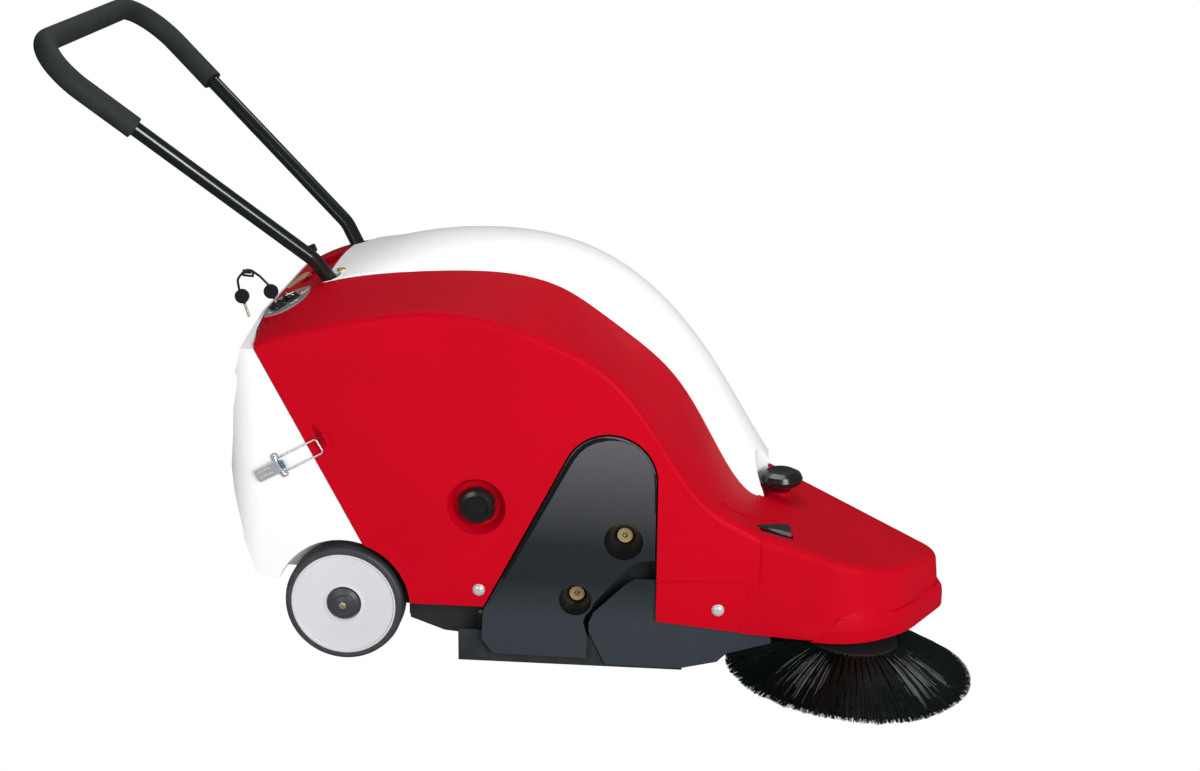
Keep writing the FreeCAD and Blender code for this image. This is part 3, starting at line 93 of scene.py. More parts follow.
# %% The Wire class
class Wire:
    """One output socket of a material's network."""

    def __init__(self, tree, socket=None):
        self.tree, self.socket = tree, socket

    def node(self, kind, settings=None, inputs=None, output=0):
        """Adds a node: first its settings, then the values or links of its sockets."""
        made = self.tree.nodes.new(kind)
        for name, value in (settings or {}).items():
            setattr(made, name, value)
        for name, value in (inputs or {}).items():
            if isinstance(value, Wire):
                self.tree.links.new(value.socket, made.inputs[name])
            else:
                made.inputs[name].default_value = value
        return Wire(self.tree, made.outputs[output])

    def maths(self, operation, first, second):
        """A Math node on two wires or numbers."""
        return self.node("ShaderNodeMath", {"operation": operation}, {0: first, 1: second})

    def __add__(self, other):
        return self.maths("ADD", self, other)

    __radd__ = __add__

    def __sub__(self, other):
        return self.maths("SUBTRACT", self, other)

    def __rsub__(self, other):
        return self.maths("SUBTRACT", other, self)

    def __mul__(self, other):
        return self.maths("MULTIPLY", self, other)

    __rmul__ = __mul__

    def __truediv__(self, other):
        return self.maths("DIVIDE", self, other)


# %% [markdown]
# Patterns lie in the piece's own coordinates, with sizes in metres. A recipe returns the
# sockets that change over the surface, with the height and depth of its bump.

# %% Colours and patterns
def rgba(red, green, blue):
    """An opaque colour."""
    return (red, green, blue, 1.0)


def blend(share, first, second):
    """A colour between two colours, by a share from 0 to 1."""
    return share.node("ShaderNodeMix", {"data_type": "RGBA"}, {0: share, 6: first, 7: second}, output=2)


def speckle(place, size, detail=2.0):
    """Soft random pattern, with features about as wide as size in metres."""
    return place.node("ShaderNodeTexNoise", {}, {"Vector": place, "Scale": 1.0 / size, "Detail": detail})


def spread(value, low, high):
    """Stretches a pattern from low to high over 0 to 1."""
    return value.node("ShaderNodeMapRange", {}, {"Value": value, "From Min": low, "From Max": high})


def drift_over(place, size=0.12):
    """A slow random change from 0 to 1, over about size in metres."""
    return spread(speckle(place, size), 0.3, 0.7)


def axis_of(vector, axis):
    """One coordinate of a vector."""
    return vector.node("ShaderNodeSeparateXYZ", {}, {0: vector}, output=axis)


# %% [markdown]
# A finished material joins a recipe to one shader, with the even values fixed.

# %% The finished material
def fresh_tree(owner):
    """An empty network for a material or a world."""
    owner.use_nodes = True
    owner.node_tree.nodes.clear()
    return Wire(owner.node_tree)


def close_tree(last, kind="ShaderNodeOutputMaterial"):
    """Links the last shader of a network to its output."""
    out = last.tree.nodes.new(kind)
    last.tree.links.new(last.socket, out.inputs["Surface"])


def finish_named(name, recipe, **fixed):
    """A material: recipe gives its changing sockets, and fixed gives the even ones."""
    material = bpy.data.materials.new(name)
    start = fresh_tree(material)
    sockets = recipe(start.node("ShaderNodeTexCoord", output="Object"))
    bump = {"Height": sockets.pop("height"), "Distance": sockets.pop("depth"), "Strength": 1.0}
    sockets["Normal"] = start.node("ShaderNodeBump", {}, bump)
    sockets.update(fixed)
    close_tree(start.node("ShaderNodeBsdfPrincipled", {}, sockets))
    return material


def report_finishes(kind):
    """Says how many materials there are so far."""
    print(kind, "done, materials so far:", len(bpy.data.materials))


# %% [markdown]
# ## Moulded plastic
# The red body, white hood, white container and black covers are moulded in tools with a
# fine spark-eroded grain. The grain is a bump one to four millimetres wide, and the colour
# and gloss drift a little over a hand's width, as they do on large mouldings.

# %% Moulded plastics
def moulding(name, light, dark, gloss, grain, depth, **fixed):
    """A grained moulding between two close colours."""
    def recipe(place):
        drift = drift_over(place)
        fine = speckle(place, grain, 1.0)
        return {"Base Color": blend(drift, rgba(*light), rgba(*dark)),
                "Roughness": gloss + 0.08 * drift + 0.06 * fine, "height": fine, "depth": depth}
    return finish_named(name, recipe, **fixed)


# Centre, direction and size of the hollow beside each latch, which gets a bump and painted shade.
HOLLOW_X, HOLLOW_Z = -0.0335, 0.396
HOLLOW_UP, HOLLOW_ON = 0.875, 0.485
HOLLOW_LONG, HOLLOW_WIDE = 0.021, 0.0065


def red_shell(place):
    """Grained red, with a shallow bumped hollow beside each latch's catch, darkened inside by painted
    shade.
    """
    ahead, above = axis_of(place, "X") - HOLLOW_X, axis_of(place, "Z") - HOLLOW_Z
    along = (above * HOLLOW_UP - ahead * HOLLOW_ON) / HOLLOW_LONG
    aside = (above * HOLLOW_ON + ahead * HOLLOW_UP) / HOLLOW_WIDE
    hollow_and_shade = spread(along * along + aside * aside, 1.3, 0.1)
    drift = drift_over(place)
    fine = speckle(place, 0.0024, 1.0)
    plain = blend(drift, rgba(0.415, 0.0003, 0.0085), rgba(0.385, 0.0003, 0.0075))
    # Inside the hollow the red turns dark: painted shade.
    return {"Base Color": blend(hollow_and_shade, plain, rgba(0.21, 0.0004, 0.004)),
            "Roughness": 0.42 + 0.08 * drift + 0.1 * fine, "height": fine - 6.0 * hollow_and_shade, "depth": 0.00035}


def cover_plastic(place):
    """Black plastic with a painted highlight towards its top, lighter near its foot, and painted shade
    where it turns away from the side.
    """
    up = axis_of(place, "Z")
    high, low = spread(up, 0.22, 0.42), spread(up, 0.16, 0.09)
    outward = axis_of(place.node("ShaderNodeTexCoord", output="Normal"), "Y")
    clear_of_edge_shade = spread(outward * outward, 0.55, 0.93)
    fine = speckle(place, 0.0022, 1.0)
    shade = blend(low, rgba(0.007, 0.0115, 0.0145), rgba(0.022, 0.03, 0.038))
    # Towards the top the black turns grey: a painted highlight.
    plain = blend(high, shade, rgba(0.08, 0.076, 0.086))
    # Where the surface turns away from the side it goes near black: painted shade.
    return {"Base Color": blend(clear_of_edge_shade, rgba(0.004, 0.005, 0.006), plain),
            "Roughness": 0.26 + 0.18 * clear_of_edge_shade + 0.1 * fine, "height": fine, "depth": 0.00035}


RED = finish_named("red_moulding", red_shell, **{"Specular IOR Level": 0.04})
WHITE = moulding("white_moulding", (0.84, 0.84, 0.84), (0.82, 0.82, 0.82), 0.3, 0.0016, 0.00004)
# The container gets a darker copy of the hood's white, as painted shade.
TANK_WHITE_SHADED = moulding("container_white_painted_shade", (0.74, 0.74, 0.735), (0.72, 0.72, 0.715), 0.34, 0.0016, 0.00004)
# The covers carry cover_plastic's painted highlight and painted shade.
COVER_BLACK = finish_named("black_moulding", cover_plastic, **{"Specular IOR Level": 0.36})
BRUSH_BLACK = moulding("brush_block", (0.011, 0.012, 0.014), (0.008, 0.009, 0.01), 0.4, 0.002, 0.0001)
KNOB_BLACK = moulding("knob_plastic", (0.01, 0.01, 0.011), (0.006, 0.006, 0.007), 0.14, 0.004, 0.00002)
CAP_GREY = moulding("hub_cap_plastic", (0.04, 0.043, 0.052), (0.03, 0.033, 0.041), 0.3, 0.003, 0.00003)
DISC_GREY = moulding("wheel_disc_plastic", (0.545, 0.555, 0.575), (0.5, 0.51, 0.53), 0.36, 0.002, 0.00004)
PANEL_GREY = moulding("panel_plastic", (0.23, 0.215, 0.225), (0.19, 0.175, 0.185), 0.3, 0.0008, 0.00003)
SWITCH_BLACK = moulding("switch_plastic", (0.01, 0.01, 0.011), (0.007, 0.007, 0.008), 0.22, 0.0008, 0.00003)
CASTOR_GREY = moulding("castor_tread", (0.1, 0.1, 0.105), (0.07, 0.07, 0.075), 0.5, 0.002, 0.00005)
BATTERY_CASE = moulding("battery_case", (0.08, 0.085, 0.09), (0.06, 0.062, 0.066), 0.42, 0.0015, 0.0001)
report_finishes("mouldings")

# %% [markdown]
# ## Rubber, foam and bristles
# Tyre rubber is dark grey and dull, and dust lightens it unevenly. The grip is closed-cell
# foam, so its bump is made of small cells. Bristles are extruded nylon: black, and a few
# paler strands are a painted sheen.

# %% Rubber, foam and bristles
def rubber(name, clean, dusty):
    """Rubber with dust in patches."""
    def recipe(place):
        dust = spread(speckle(place, 0.02, 4.0), 0.45, 0.8)
        fine = speckle(place, 0.0012)
        return {"Base Color": blend(dust, rgba(*clean), rgba(*dusty)),
                "Roughness": 0.55 + 0.2 * dust, "height": fine, "depth": 0.0002}
    return finish_named(name, recipe)


def foam(place):
    """Dull foam, worn in places."""
    pores = place.node("ShaderNodeTexVoronoi", {}, {"Vector": place, "Scale": 1.0 / 0.0022})
    worn = spread(speckle(place, 0.05), 0.4, 0.75)
    return {"Base Color": blend(worn, rgba(0.007, 0.012, 0.013), rgba(0.013, 0.019, 0.02)),
            "Roughness": 0.72 + 0.15 * worn, "height": pores, "depth": 0.0005}


def nylon(place):
    """Black nylon whose shade changes from bristle to bristle."""
    shade = spread(speckle(place, 0.006), 0.35, 0.7)
    return {"Base Color": blend(shade, rgba(0.0012, 0.0036, 0.003), rgba(0.003, 0.0064, 0.0056)),
            "Roughness": 0.34 + 0.15 * shade, "height": shade, "depth": 0.00005}


TYRE = rubber("tyre_rubber", (0.03, 0.031, 0.038), (0.048, 0.048, 0.054))
SEAL = rubber("seal_rubber", (0.01, 0.014, 0.016), (0.018, 0.023, 0.025))
FOAM = finish_named("grip_foam", foam)
NYLON = finish_named("bristle_nylon", nylon, **{"Specular IOR Level": 0.18})
# Paler strands that stand in for the bristles' sheen: painted sheen.
NYLON_SHEEN = moulding("painted_sheen_nylon", (0.22, 0.23, 0.23), (0.1, 0.11, 0.11), 0.3, 0.01, 0.00005)
report_finishes("rubber, foam and bristles")

# %% [markdown]
# ## Metals and paint
# The handle and chassis are painted steel: a smooth dark coat with a faint orange-peel
# ripple. Latches, hinge and the castor's fork are bright zinc plate, and the bushes brass.
# Plated metals are only partly metallic, so that the soft lamps brighten them too.

# %% Metals and paint
def painted(name, colour, gloss, ripple, **fixed):
    """A smooth coat of paint that is a quarter darker in places."""
    def recipe(place):
        peel = speckle(place, ripple, 1.0)
        drift = drift_over(place, 0.08)
        darker = tuple(channel * 0.75 for channel in colour)
        return {"Base Color": blend(drift, rgba(*colour), rgba(*darker)),
                "Roughness": gloss + 0.05 * drift, "height": peel, "depth": 0.00002}
    return finish_named(name, recipe, **fixed)


def plated(name, bright, dull, gloss):
    """Plated metal with dull stains and fine scratches."""
    def recipe(place):
        stain = spread(speckle(place, 0.008, 4.0), 0.35, 0.75)
        scratch = speckle(place, 0.0007)
        return {"Base Color": blend(stain, rgba(*bright), rgba(*dull)), "Metallic": 0.72 - 0.1 * stain,
                "Roughness": gloss + 0.18 * stain, "height": scratch, "depth": 0.00004}
    return finish_named(name, recipe)


TUBE_PAINT = painted("handle_paint", (0.005, 0.009, 0.008), 0.2, 0.012, **{"Coat Weight": 0.1})
CHASSIS_PAINT = painted("chassis_paint", (0.018, 0.019, 0.021), 0.36, 0.004)
ZINC = plated("zinc_plate", (0.78, 0.78, 0.8), (0.6, 0.6, 0.58), 0.18)
BRASS = plated("brass", (0.8, 0.62, 0.32), (0.62, 0.45, 0.22), 0.22)
NICKEL = plated("key_nickel", (0.6, 0.5, 0.42), (0.42, 0.34, 0.28), 0.25)
MOTOR_PAINT = painted("motor_paint", (0.05, 0.055, 0.06), 0.4, 0.005)
report_finishes("metals and paint")

# %% [markdown]
# ## Finishes on the CAD nodes
# A CAD node keeps its mesh, and its material slot gets one finish. Nodes that other pieces
# replace further down get one too.

# %% Give each CAD node its finish
FINISHES = {
    RED: ["body_shell", "latch_keepers"],
    WHITE: ["hood"],
    TANK_WHITE_SHADED: ["waste_container"],
    COVER_BLACK: ["belt_cover", "left_cover", "front_skirts", "nose_insert"],
    KNOB_BLACK: ["brush_height_knob", "nose_knob", "clamp_knob", "key_heads"],
    CAP_GREY: ["hub_cap_right", "hub_cap_left"],
    DISC_GREY: ["wheel_disc_right", "wheel_disc_left"],
    PANEL_GREY: ["control_panel"],
    SWITCH_BLACK: ["key_switch", "rocker_switch"],
    CASTOR_GREY: ["castor_wheel"],
    BATTERY_CASE: ["battery", "main_brush_roller"],
    BRUSH_BLACK: ["side_brush_disc"],
    TYRE: ["tyre_right", "tyre_left"],
    SEAL: ["side_seals", "cross_flaps"],
    FOAM: ["handle_grip"],
    NYLON: ["main_brush_bristles", "side_brush_bristles"],
    TUBE_PAINT: ["handle_tube"],
    CHASSIS_PAINT: ["chassis_frame", "rear_axle", "side_brush_arm"],
    ZINC: ["hood_hinge", "shell_screws", "latch_levers", "latch_loops", "castor_fork"],
    BRASS: ["hood_grommet", "spindle_bushes"],
    NICKEL: ["key_blades"],
    MOTOR_PAINT: ["drive_motor", "side_brush_motor"],
}


def paint_nodes():
    for material, names in FINISHES.items():
        for name in names:
            mesh = NODES[name].data
            mesh.materials.clear()
            mesh.materials.append(material)
    bare = set(NODES) - {name for names in FINISHES.values() for name in names}
    print("nodes with no finish yet:", sorted(bare))


paint_nodes()

# %% [markdown]
# Moulded edges are never sharp. A bevel modifier rounds them by a width in metres.

# %% Soft moulded edges
SOFT_EDGES = {"belt_cover": 0.0055, "left_cover": 0.0018, "front_skirts": 0.001, "key_heads": 0.0012,
              "brush_height_knob": 0.0014, "nose_knob": 0.0015, "control_panel": 0.0005,
              "battery": 0.004, "side_brush_disc": 0.0012, "side_brush_arm": 0.001}
SHARP_FROM = math.radians(35)
for name, width in SOFT_EDGES.items():
    edge = NODES[name].modifiers.new("soft_edges", "BEVEL")
    edge.width = width
    edge.segments = 3
    edge.limit_method = "ANGLE"
    edge.angle_limit = SHARP_FROM
    edge.harden_normals = True
print("nodes with softened edges:", len(SOFT_EDGES))

# %% [markdown]
# The panel's lamps are off, so their red lenses only look dark and glossy.

# %% Lamps on the panel
LAMP = moulding("lamp_lens", (0.55, 0.1, 0.04), (0.45, 0.06, 0.03), 0.1, 0.0008, 0.00001)
NODES["indicator_lamps"].data.materials.clear()
NODES["indicator_lamps"].data.materials.append(LAMP)
report_finishes("lamp lenses")

# %% [markdown]
# ## Making a piece
# Each new piece is shaped in a bmesh, becomes an object at the origin and rides on a body.

# %% Helpers for new pieces
def piece_from(bm, name, body, material, smooth=False):
    """Turns a bmesh into a piece that rides on a body."""
    for face in bm.faces:
        face.smooth = smooth
    mesh = bpy.data.meshes.new(name)
    bm.to_mesh(mesh)
    bm.free()
    mesh.materials.append(material)
    made = bpy.data.objects.new(name, mesh)
    bpy.context.scene.collection.objects.link(made)
    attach(made, body)
    print(name, "faces:", len(mesh.polygons))
    return made


def smooth_piece(bm, name, body, material):
    """A smooth piece that keeps its sharp edges."""
    made = piece_from(bm, name, body, material, smooth=True)
    made.data.set_sharp_from_angle(angle=math.radians(40))
    return made


def face_out(bm):
    """Turns all faces outwards."""
    bmesh.ops.recalc_face_normals(bm, faces=bm.faces)


def strand(bm, points, radii):
    """A thin three-sided bristle along points, closed at its ends."""
    rim = bmesh.ops.create_circle(bm, segments=3, radius=radii[0], cap_ends=True)["verts"]
    face = rim[0].link_faces[0]
    heading = (points[1] - points[0]).normalized()
    turn = heading.to_track_quat("Z", "X").to_matrix().to_4x4()
    bmesh.ops.transform(bm, verts=rim, matrix=Matrix.Translation(points[0]) @ turn)
    made = list(rim)
    for index in range(1, len(points)):
        region = bmesh.ops.extrude_face_region(bm, geom=[face])["geom"]
        fresh = [part for part in region if isinstance(part, bmesh.types.BMVert)]
        face = next(part for part in region if isinstance(part, bmesh.types.BMFace))
        shrink = radii[index] / radii[index - 1]
        middle = points[index - 1]
        bmesh.ops.scale(bm, verts=fresh, vec=(shrink,) * 3, space=Matrix.Translation(-middle))
        bmesh.ops.translate(bm, verts=fresh, vec=points[index] - middle)
        made += fresh
    return made


# %% [markdown]
# Trim is made of turned solids and bevelled plates, copied to their places.

# %% Small solids to build pieces from
def spun(outline, segments, closed=False):
    """An outline of (radius, height) corners turned round Z."""
    bm = bmesh.new()
    corners = [bm.verts.new((radius, 0, height)) for radius, height in outline]
    ends = corners[1:] + corners[:1] * closed
    edges = [bm.edges.new(run) for run in zip(corners, ends)]
    bmesh.ops.spin(bm, geom=corners + edges, axis=(0, 0, 1), angle=math.tau, steps=segments,
                   use_merge=True)
    return bm


def turned(outline, segments=32):
    """A solid from an outline that starts and ends on the axis."""
    bm = spun(outline, segments)
    bmesh.ops.remove_doubles(bm, verts=bm.verts, dist=0.00001)
    face_out(bm)
    return bm


def plate(outline, low, high, edge=0.0, steps=2):
    """A plate from a plan outline between two heights, with rounded edges."""
    bm = bmesh.new()
    corners = [bm.verts.new((x, y, low)) for x, y in outline]
    face = bm.faces.new(corners)
    grown = bmesh.ops.extrude_face_region(bm, geom=[face])["geom"]
    lifted = [part for part in grown if isinstance(part, bmesh.types.BMVert)]
    bmesh.ops.translate(bm, verts=lifted, vec=(0, 0, high - low))
    face_out(bm)
    if edge:
        bmesh.ops.bevel(bm, geom=bm.edges[:], offset=edge, segments=steps, profile=0.5,
                        affect="EDGES", material=-1)
    return bm


def oblong(long, wide):
    """Corners of a rectangle about the origin."""
    x, y = long / 2, wide / 2
    return [(-x, -y), (x, -y), (x, y), (-x, y)]


def absorb(whole, part, *moves):
    """Adds a copy of part to whole for each move, or as it stands."""
    mesh = bpy.data.meshes.new("part")
    for move in moves or (Matrix(),):
        copy = part.copy()
        copy.transform(move)
        copy.to_mesh(mesh)
        copy.free()
        whole.from_mesh(mesh)
    part.free()
    bpy.data.meshes.remove(mesh)


def placed(origin, along, facing):
    """Matrix whose local Z faces out and whose local X runs nearly along."""
    facing = Vector(facing).normalized()
    side = facing.cross(Vector(along)).normalized()
    turn = Matrix((side.cross(facing), side, facing)).transposed().to_4x4()
    return Matrix.Translation(Vector(origin)) @ turn


def moved(x, y, z=0.0):
    return Matrix.Translation((x, y, z))


def pair(spot, x, y):
    """Two places mirrored over the long axis of a spot's plane."""
    return spot @ moved(x, -y), spot @ moved(x, y)


def surface_of(node):
    """A node's faces, to drop small trim onto."""
    mesh = NODES[node].data
    return bvhtree.BVHTree.FromPolygons([vert.co for vert in mesh.vertices],
                                        [face.vertices for face in mesh.polygons])


# %% [markdown]
# ## Side brush
# The disc holds rings of tufts that fan out to the floor. Each ring has four different
# tufts of curved strands, and turned copies of them fill it. The strands then get a random
# bend that grows towards the tips, which makes the ragged outer edge. The disc leans
# forward, and its front tips would reach up to 7 mm under the floor, which flattens them.

# %% Side brush bristles
BRUSH_FOOT = Vector((0.843, -0.258, 0.0))
BRUSH_LEAN = math.radians(4.0)
BRUSH_TIP = 0.2055
DISC_LOW = 0.058
FLOOR_GAP = 0.206 * math.tan(BRUSH_LEAN) - 0.007
LOWEST = 0.0015
RIM_LIFT = 0.0085
OUTER_ROOT = 0.0815
TUFT_RINGS = ((0.06, 44, 0.19, 0.0), (0.07, 52, 0.198, 0.0), (0.078, 60, 0.2035, 0.0),
              (OUTER_ROOT, 64, 0.2045, RIM_LIFT))
TUFT_KINDS = 4
STRANDS_IN_TUFT = 34
BRISTLE = 0.00055
HEART_ROOT, HEART_REACH, HEART_RIBS = 0.077, 0.197, 240


def around(radius, turn, height):
    """A point at a radius and an angle about the brush's axis."""
    return Vector((radius * math.cos(turn), radius * math.sin(turn), height))


def strand_height(share, foot, tip):
    """Bristles leave the disc steeply and then flatten towards their tips."""
    return foot + (tip - foot) * (0.62 * share + 0.38 * share * share)


def looseness(radius):
    """0 near the disc, growing to about 1 at the tips."""
    return max(0.0, (radius - 0.08) / 0.12)


def set_on_floor(bm):
    """Leans the bristles into place and flattens what would go under the floor."""
    lean = Matrix.Translation(BRUSH_FOOT) @ Matrix.Rotation(BRUSH_LEAN, 4, "Y")
    bmesh.ops.transform(bm, verts=bm.verts, matrix=lean)
    for vert in bm.verts:
        vert.co.z = max(vert.co.z, LOWEST)
    face_out(bm)


def brush_tuft(root, count, reach, lift):
    """One tuft's strands, fanned over its share of the circle."""
    bm = bmesh.new()
    for _ in range(STRANDS_IN_TUFT):
        lean = random.uniform(-1, 1)
        start_turn = lean * 0.55 * math.pi / count
        end_turn = lean * 1.25 * math.pi / count + random.gauss(0, 0.006)
        start_r = root + random.uniform(-0.004, 0.004)
        end_r = min(reach + random.gauss(0, 0.0022), BRUSH_TIP - 0.0006)
        tip = FLOOR_GAP + (BRUSH_TIP - end_r) * 0.3 + random.uniform(0, 0.003)
        points = []
        for step in range(5):
            share = step / 4
            turn = start_turn + (end_turn - start_turn) * share
            height = strand_height(share, DISC_LOW + lift, tip)
            points.append(around(start_r + (end_r - start_r) * share, turn, height))
        strand(bm, points, [BRISTLE, BRISTLE, BRISTLE * 0.95, BRISTLE * 0.85, BRISTLE * 0.6])
    return bm


def sheen_strands():
    """Paler strands in two places, lying on the outer ring: a painted sheen."""
    random.seed(12)
    bm = bmesh.new()
    for middle in (234.0, 322.0):
        for _ in range(34):
            turn = math.radians(random.gauss(middle, 9.0))
            start, end = random.uniform(0.06, 0.45), random.uniform(0.55, 0.93)
            points = []
            for step in range(4):
                share = start + (end - start) * step / 3
                height = strand_height(share, DISC_LOW + RIM_LIFT, FLOOR_GAP + 0.0035) + 0.0012
                points.append(around(OUTER_ROOT + (0.2 - OUTER_ROOT) * share, turn, height))
            strand(bm, points, [BRISTLE * 0.3, BRISTLE * 0.6, BRISTLE * 0.6, BRISTLE * 0.3])
    set_on_floor(bm)
    piece_from(bm, "side_brush_sheen", "side_brush", NYLON_SHEEN)


def side_brush():
    """All rings of strands. The noise is seeded too, so each run bends them alike."""
    random.seed(4)
    noise.seed_set(4)
    bm = bmesh.new()
    for root, count, reach, lift in TUFT_RINGS:
        for index in range(TUFT_KINDS):
            places = range(index, count, TUFT_KINDS)
            turns = [Matrix.Rotation(math.tau * place / count, 4, "Z") for place in places]
            absorb(bm, brush_tuft(root, count, reach, lift), *turns)
    for vert in bm.verts:
        bend = noise.noise_vector(vert.co * 38.0) * 0.003 + noise.noise_vector(vert.co * 150.0) * 0.0012
        vert.co += bend * looseness(vert.co.xy.length) ** 2
        if vert.co.xy.length > BRUSH_TIP:
            vert.co.xy *= BRUSH_TIP / vert.co.xy.length
    set_on_floor(bm)
    made = piece_from(bm, "side_brush_strands", "side_brush", NYLON)
    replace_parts(made, "side_brush_bristles")


def brush_heart():
    """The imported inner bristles, as one ribbed skirt under the loose strands."""
    outline = [(0.047, DISC_LOW - 0.0005), (HEART_ROOT, DISC_LOW - 0.0005)]
    for step in range(1, 6):
        height = strand_height(step / 5, DISC_LOW - 0.003, FLOOR_GAP + 0.005)
        outline.append((HEART_ROOT + (HEART_REACH - HEART_ROOT) * step / 5, height))
    outline += [(0.187, FLOOR_GAP + 0.003), (0.12, 0.028), (0.047, DISC_LOW - 0.012)]
    bm = spun(outline, HEART_RIBS, closed=True)
    for vert in bm.verts:
        turn = math.atan2(vert.co.y, vert.co.x)
        rib = 1.0 if round(turn / math.tau * HEART_RIBS) % 2 else -1.0
        share = looseness(vert.co.xy.length)
        vert.co.z += rib * 0.0007 * share
        ragged = noise.noise(Vector((math.cos(turn), math.sin(turn), 0.3)) * 14.0)
        vert.co.xy *= 1.0 + 0.012 * share * ragged
    set_on_floor(bm)
    made = piece_from(bm, "side_brush_heart", "side_brush", NYLON, smooth=True)
    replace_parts(made, "side_brush_bristles")


side_brush()
sheen_strands()
brush_heart()

# %% [markdown]
# ## Main brush
# Under the machine a cylinder brush carries rows of tufts that run round it in a shallow
# chevron. Spin with a sideways step lays one helical row, and a second spin repeats it.

# %% Main brush bristles
MAIN_AXIS = Vector((0.393, 0.0, 0.143))
MAIN_CORE, MAIN_TIP, MAIN_HALF = 0.042, 0.141, 0.244
ROWS, TUFTS_IN_HALF_ROW, ROW_TWIST = 8, 26, math.radians(22)


def main_brush():
    """Two mirrored half rows of tufts, repeated round the roller."""
    random.seed(9)
    bm = bmesh.new()
    for side in (-1, 1):
        tuft = []
        pitch = MAIN_HALF / TUFTS_IN_HALF_ROW
        for _ in range(14):
            tilt = random.uniform(-0.1, 0.1)
            shift = pitch * random.uniform(0.15, 0.85)
            tip = MAIN_TIP - random.uniform(0.001, 0.005)
            half = tilt * 0.5
            start = Vector((MAIN_CORE * math.cos(half), side * shift, MAIN_CORE * math.sin(half)))
            slip = random.uniform(-0.002, 0.002)
            end = Vector((tip * math.cos(tilt), side * shift + slip, tip * math.sin(tilt)))
            tuft += strand(bm, [start, end], [0.0009, 0.0007])
        faces = list({face for vert in tuft for face in vert.link_faces})
        bmesh.ops.spin(bm, geom=tuft + faces, axis=(0, 1, 0), dvec=(0, side * pitch, 0),
                       angle=ROW_TWIST, steps=TUFTS_IN_HALF_ROW - 1, use_duplicate=True)
    everything = list(bm.verts) + list(bm.faces)
    bmesh.ops.spin(bm, geom=everything, axis=(0, 1, 0), angle=math.tau * (ROWS - 1) / ROWS,
                   steps=ROWS - 1, use_duplicate=True)
    bmesh.ops.translate(bm, verts=bm.verts, vec=MAIN_AXIS)
    face_out(bm)
    made = piece_from(bm, "main_brush_tufts", "main_brush", NYLON)
    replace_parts(made, "main_brush_bristles")


main_brush()

# %% [markdown]
# ## Control panel
# The leaf-shaped plate carries a round key lock, a rocker switch and small printed signs.
# They are laid out on the plate's own plane: X runs along the leaf, Z stands off it.

# %% Lock and rocker switch
PANEL = placed((-0.106, -0.175, 0.586), (0.6387, 0.678, 0.3636), (-0.326, -0.195, 0.925))
PLATE_TOP = 0.0025
LOCK_AT, ROCKER_AT = -0.02, 0.008
ROCKER_UP, ROCKER_TILT = 0.0056, Matrix.Rotation(math.radians(7), 4, "Y")


def key_lock():
    """A square block with a round collar and two cheeks beside the key."""
    bm = bmesh.new()
    absorb(bm, plate(oblong(0.0235, 0.0235), PLATE_TOP, 0.0075, 0.0016, 3))
    collar = [(0, 0.007), (0.0106, 0.007), (0.0106, 0.0098), (0.0098, 0.0108), (0.0066, 0.0108),
              (0.0062, 0.01), (0.0062, 0.0092), (0, 0.0092)]
    absorb(bm, turned(collar, 40))
    absorb(bm, plate(oblong(0.002, 0.0086), 0.0092, 0.0104, 0.0003, 1), moved(-0.003, 0), moved(0.003, 0))
    bm.transform(PANEL @ moved(LOCK_AT, 0))
    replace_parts(piece_from(bm, "key_lock", "machine", SWITCH_BLACK), "key_switch")


def rocker():
    """A frame and a rocker pressed down at one end."""
    bm = bmesh.new()
    absorb(bm, plate(oblong(0.0238, 0.0238), PLATE_TOP, 0.0062, 0.0014, 3))
    cap = plate(oblong(0.018, 0.0195), 0.0, 0.0046, 0.0014, 3)
    for vert in cap.verts:
        if vert.co.z > 0.003:
            vert.co.z += (vert.co.x / 0.009) ** 2 * 0.0012
    absorb(bm, cap, moved(0, 0, ROCKER_UP) @ ROCKER_TILT)
    bm.transform(PANEL @ moved(ROCKER_AT, 0))
    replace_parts(piece_from(bm, "rocker_cap", "machine", SWITCH_BLACK), "rocker_switch")


key_lock()
rocker()

# %% [markdown]
# Each printed sign is a run of thin strokes.

# %% Printed signs
PRINT_WHITE = moulding("print_white", (0.85, 0.85, 0.85), (0.8, 0.8, 0.8), 0.4, 0.0008, 0.00001)
SIGNS = (((0.0245, -0.0095), (0.0245, -0.0045), (0.0325, -0.0045), (0.0325, -0.0095), (0.0245, -0.0095)),
         ((0.0268, -0.0045), (0.0268, -0.003)), ((0.0302, -0.0045), (0.0302, -0.003)),
         ((0.036, -0.006), (0.04, -0.006)), ((0.038, -0.008), (0.038, -0.004)),
         ((-0.037, 0.0035), (-0.037, -0.0035)), ((-0.04, 0.002), (-0.04, -0.002)),
         ((-0.005, -0.0175), (0.001, -0.0205)), ((0.003, -0.0175), (0.009, -0.0205)))


def stroke(bm, start, end, wide, low, high, move):
    """One printed line between two points."""
    run = Vector(end) - Vector(start)
    turn = Matrix.Rotation(math.atan2(run.y, run.x), 4, "Z")
    middle = (Vector(start) + Vector(end)) / 2
    absorb(bm, plate(oblong(run.length + wide, wide), low, high), move @ moved(middle.x, middle.y) @ turn)


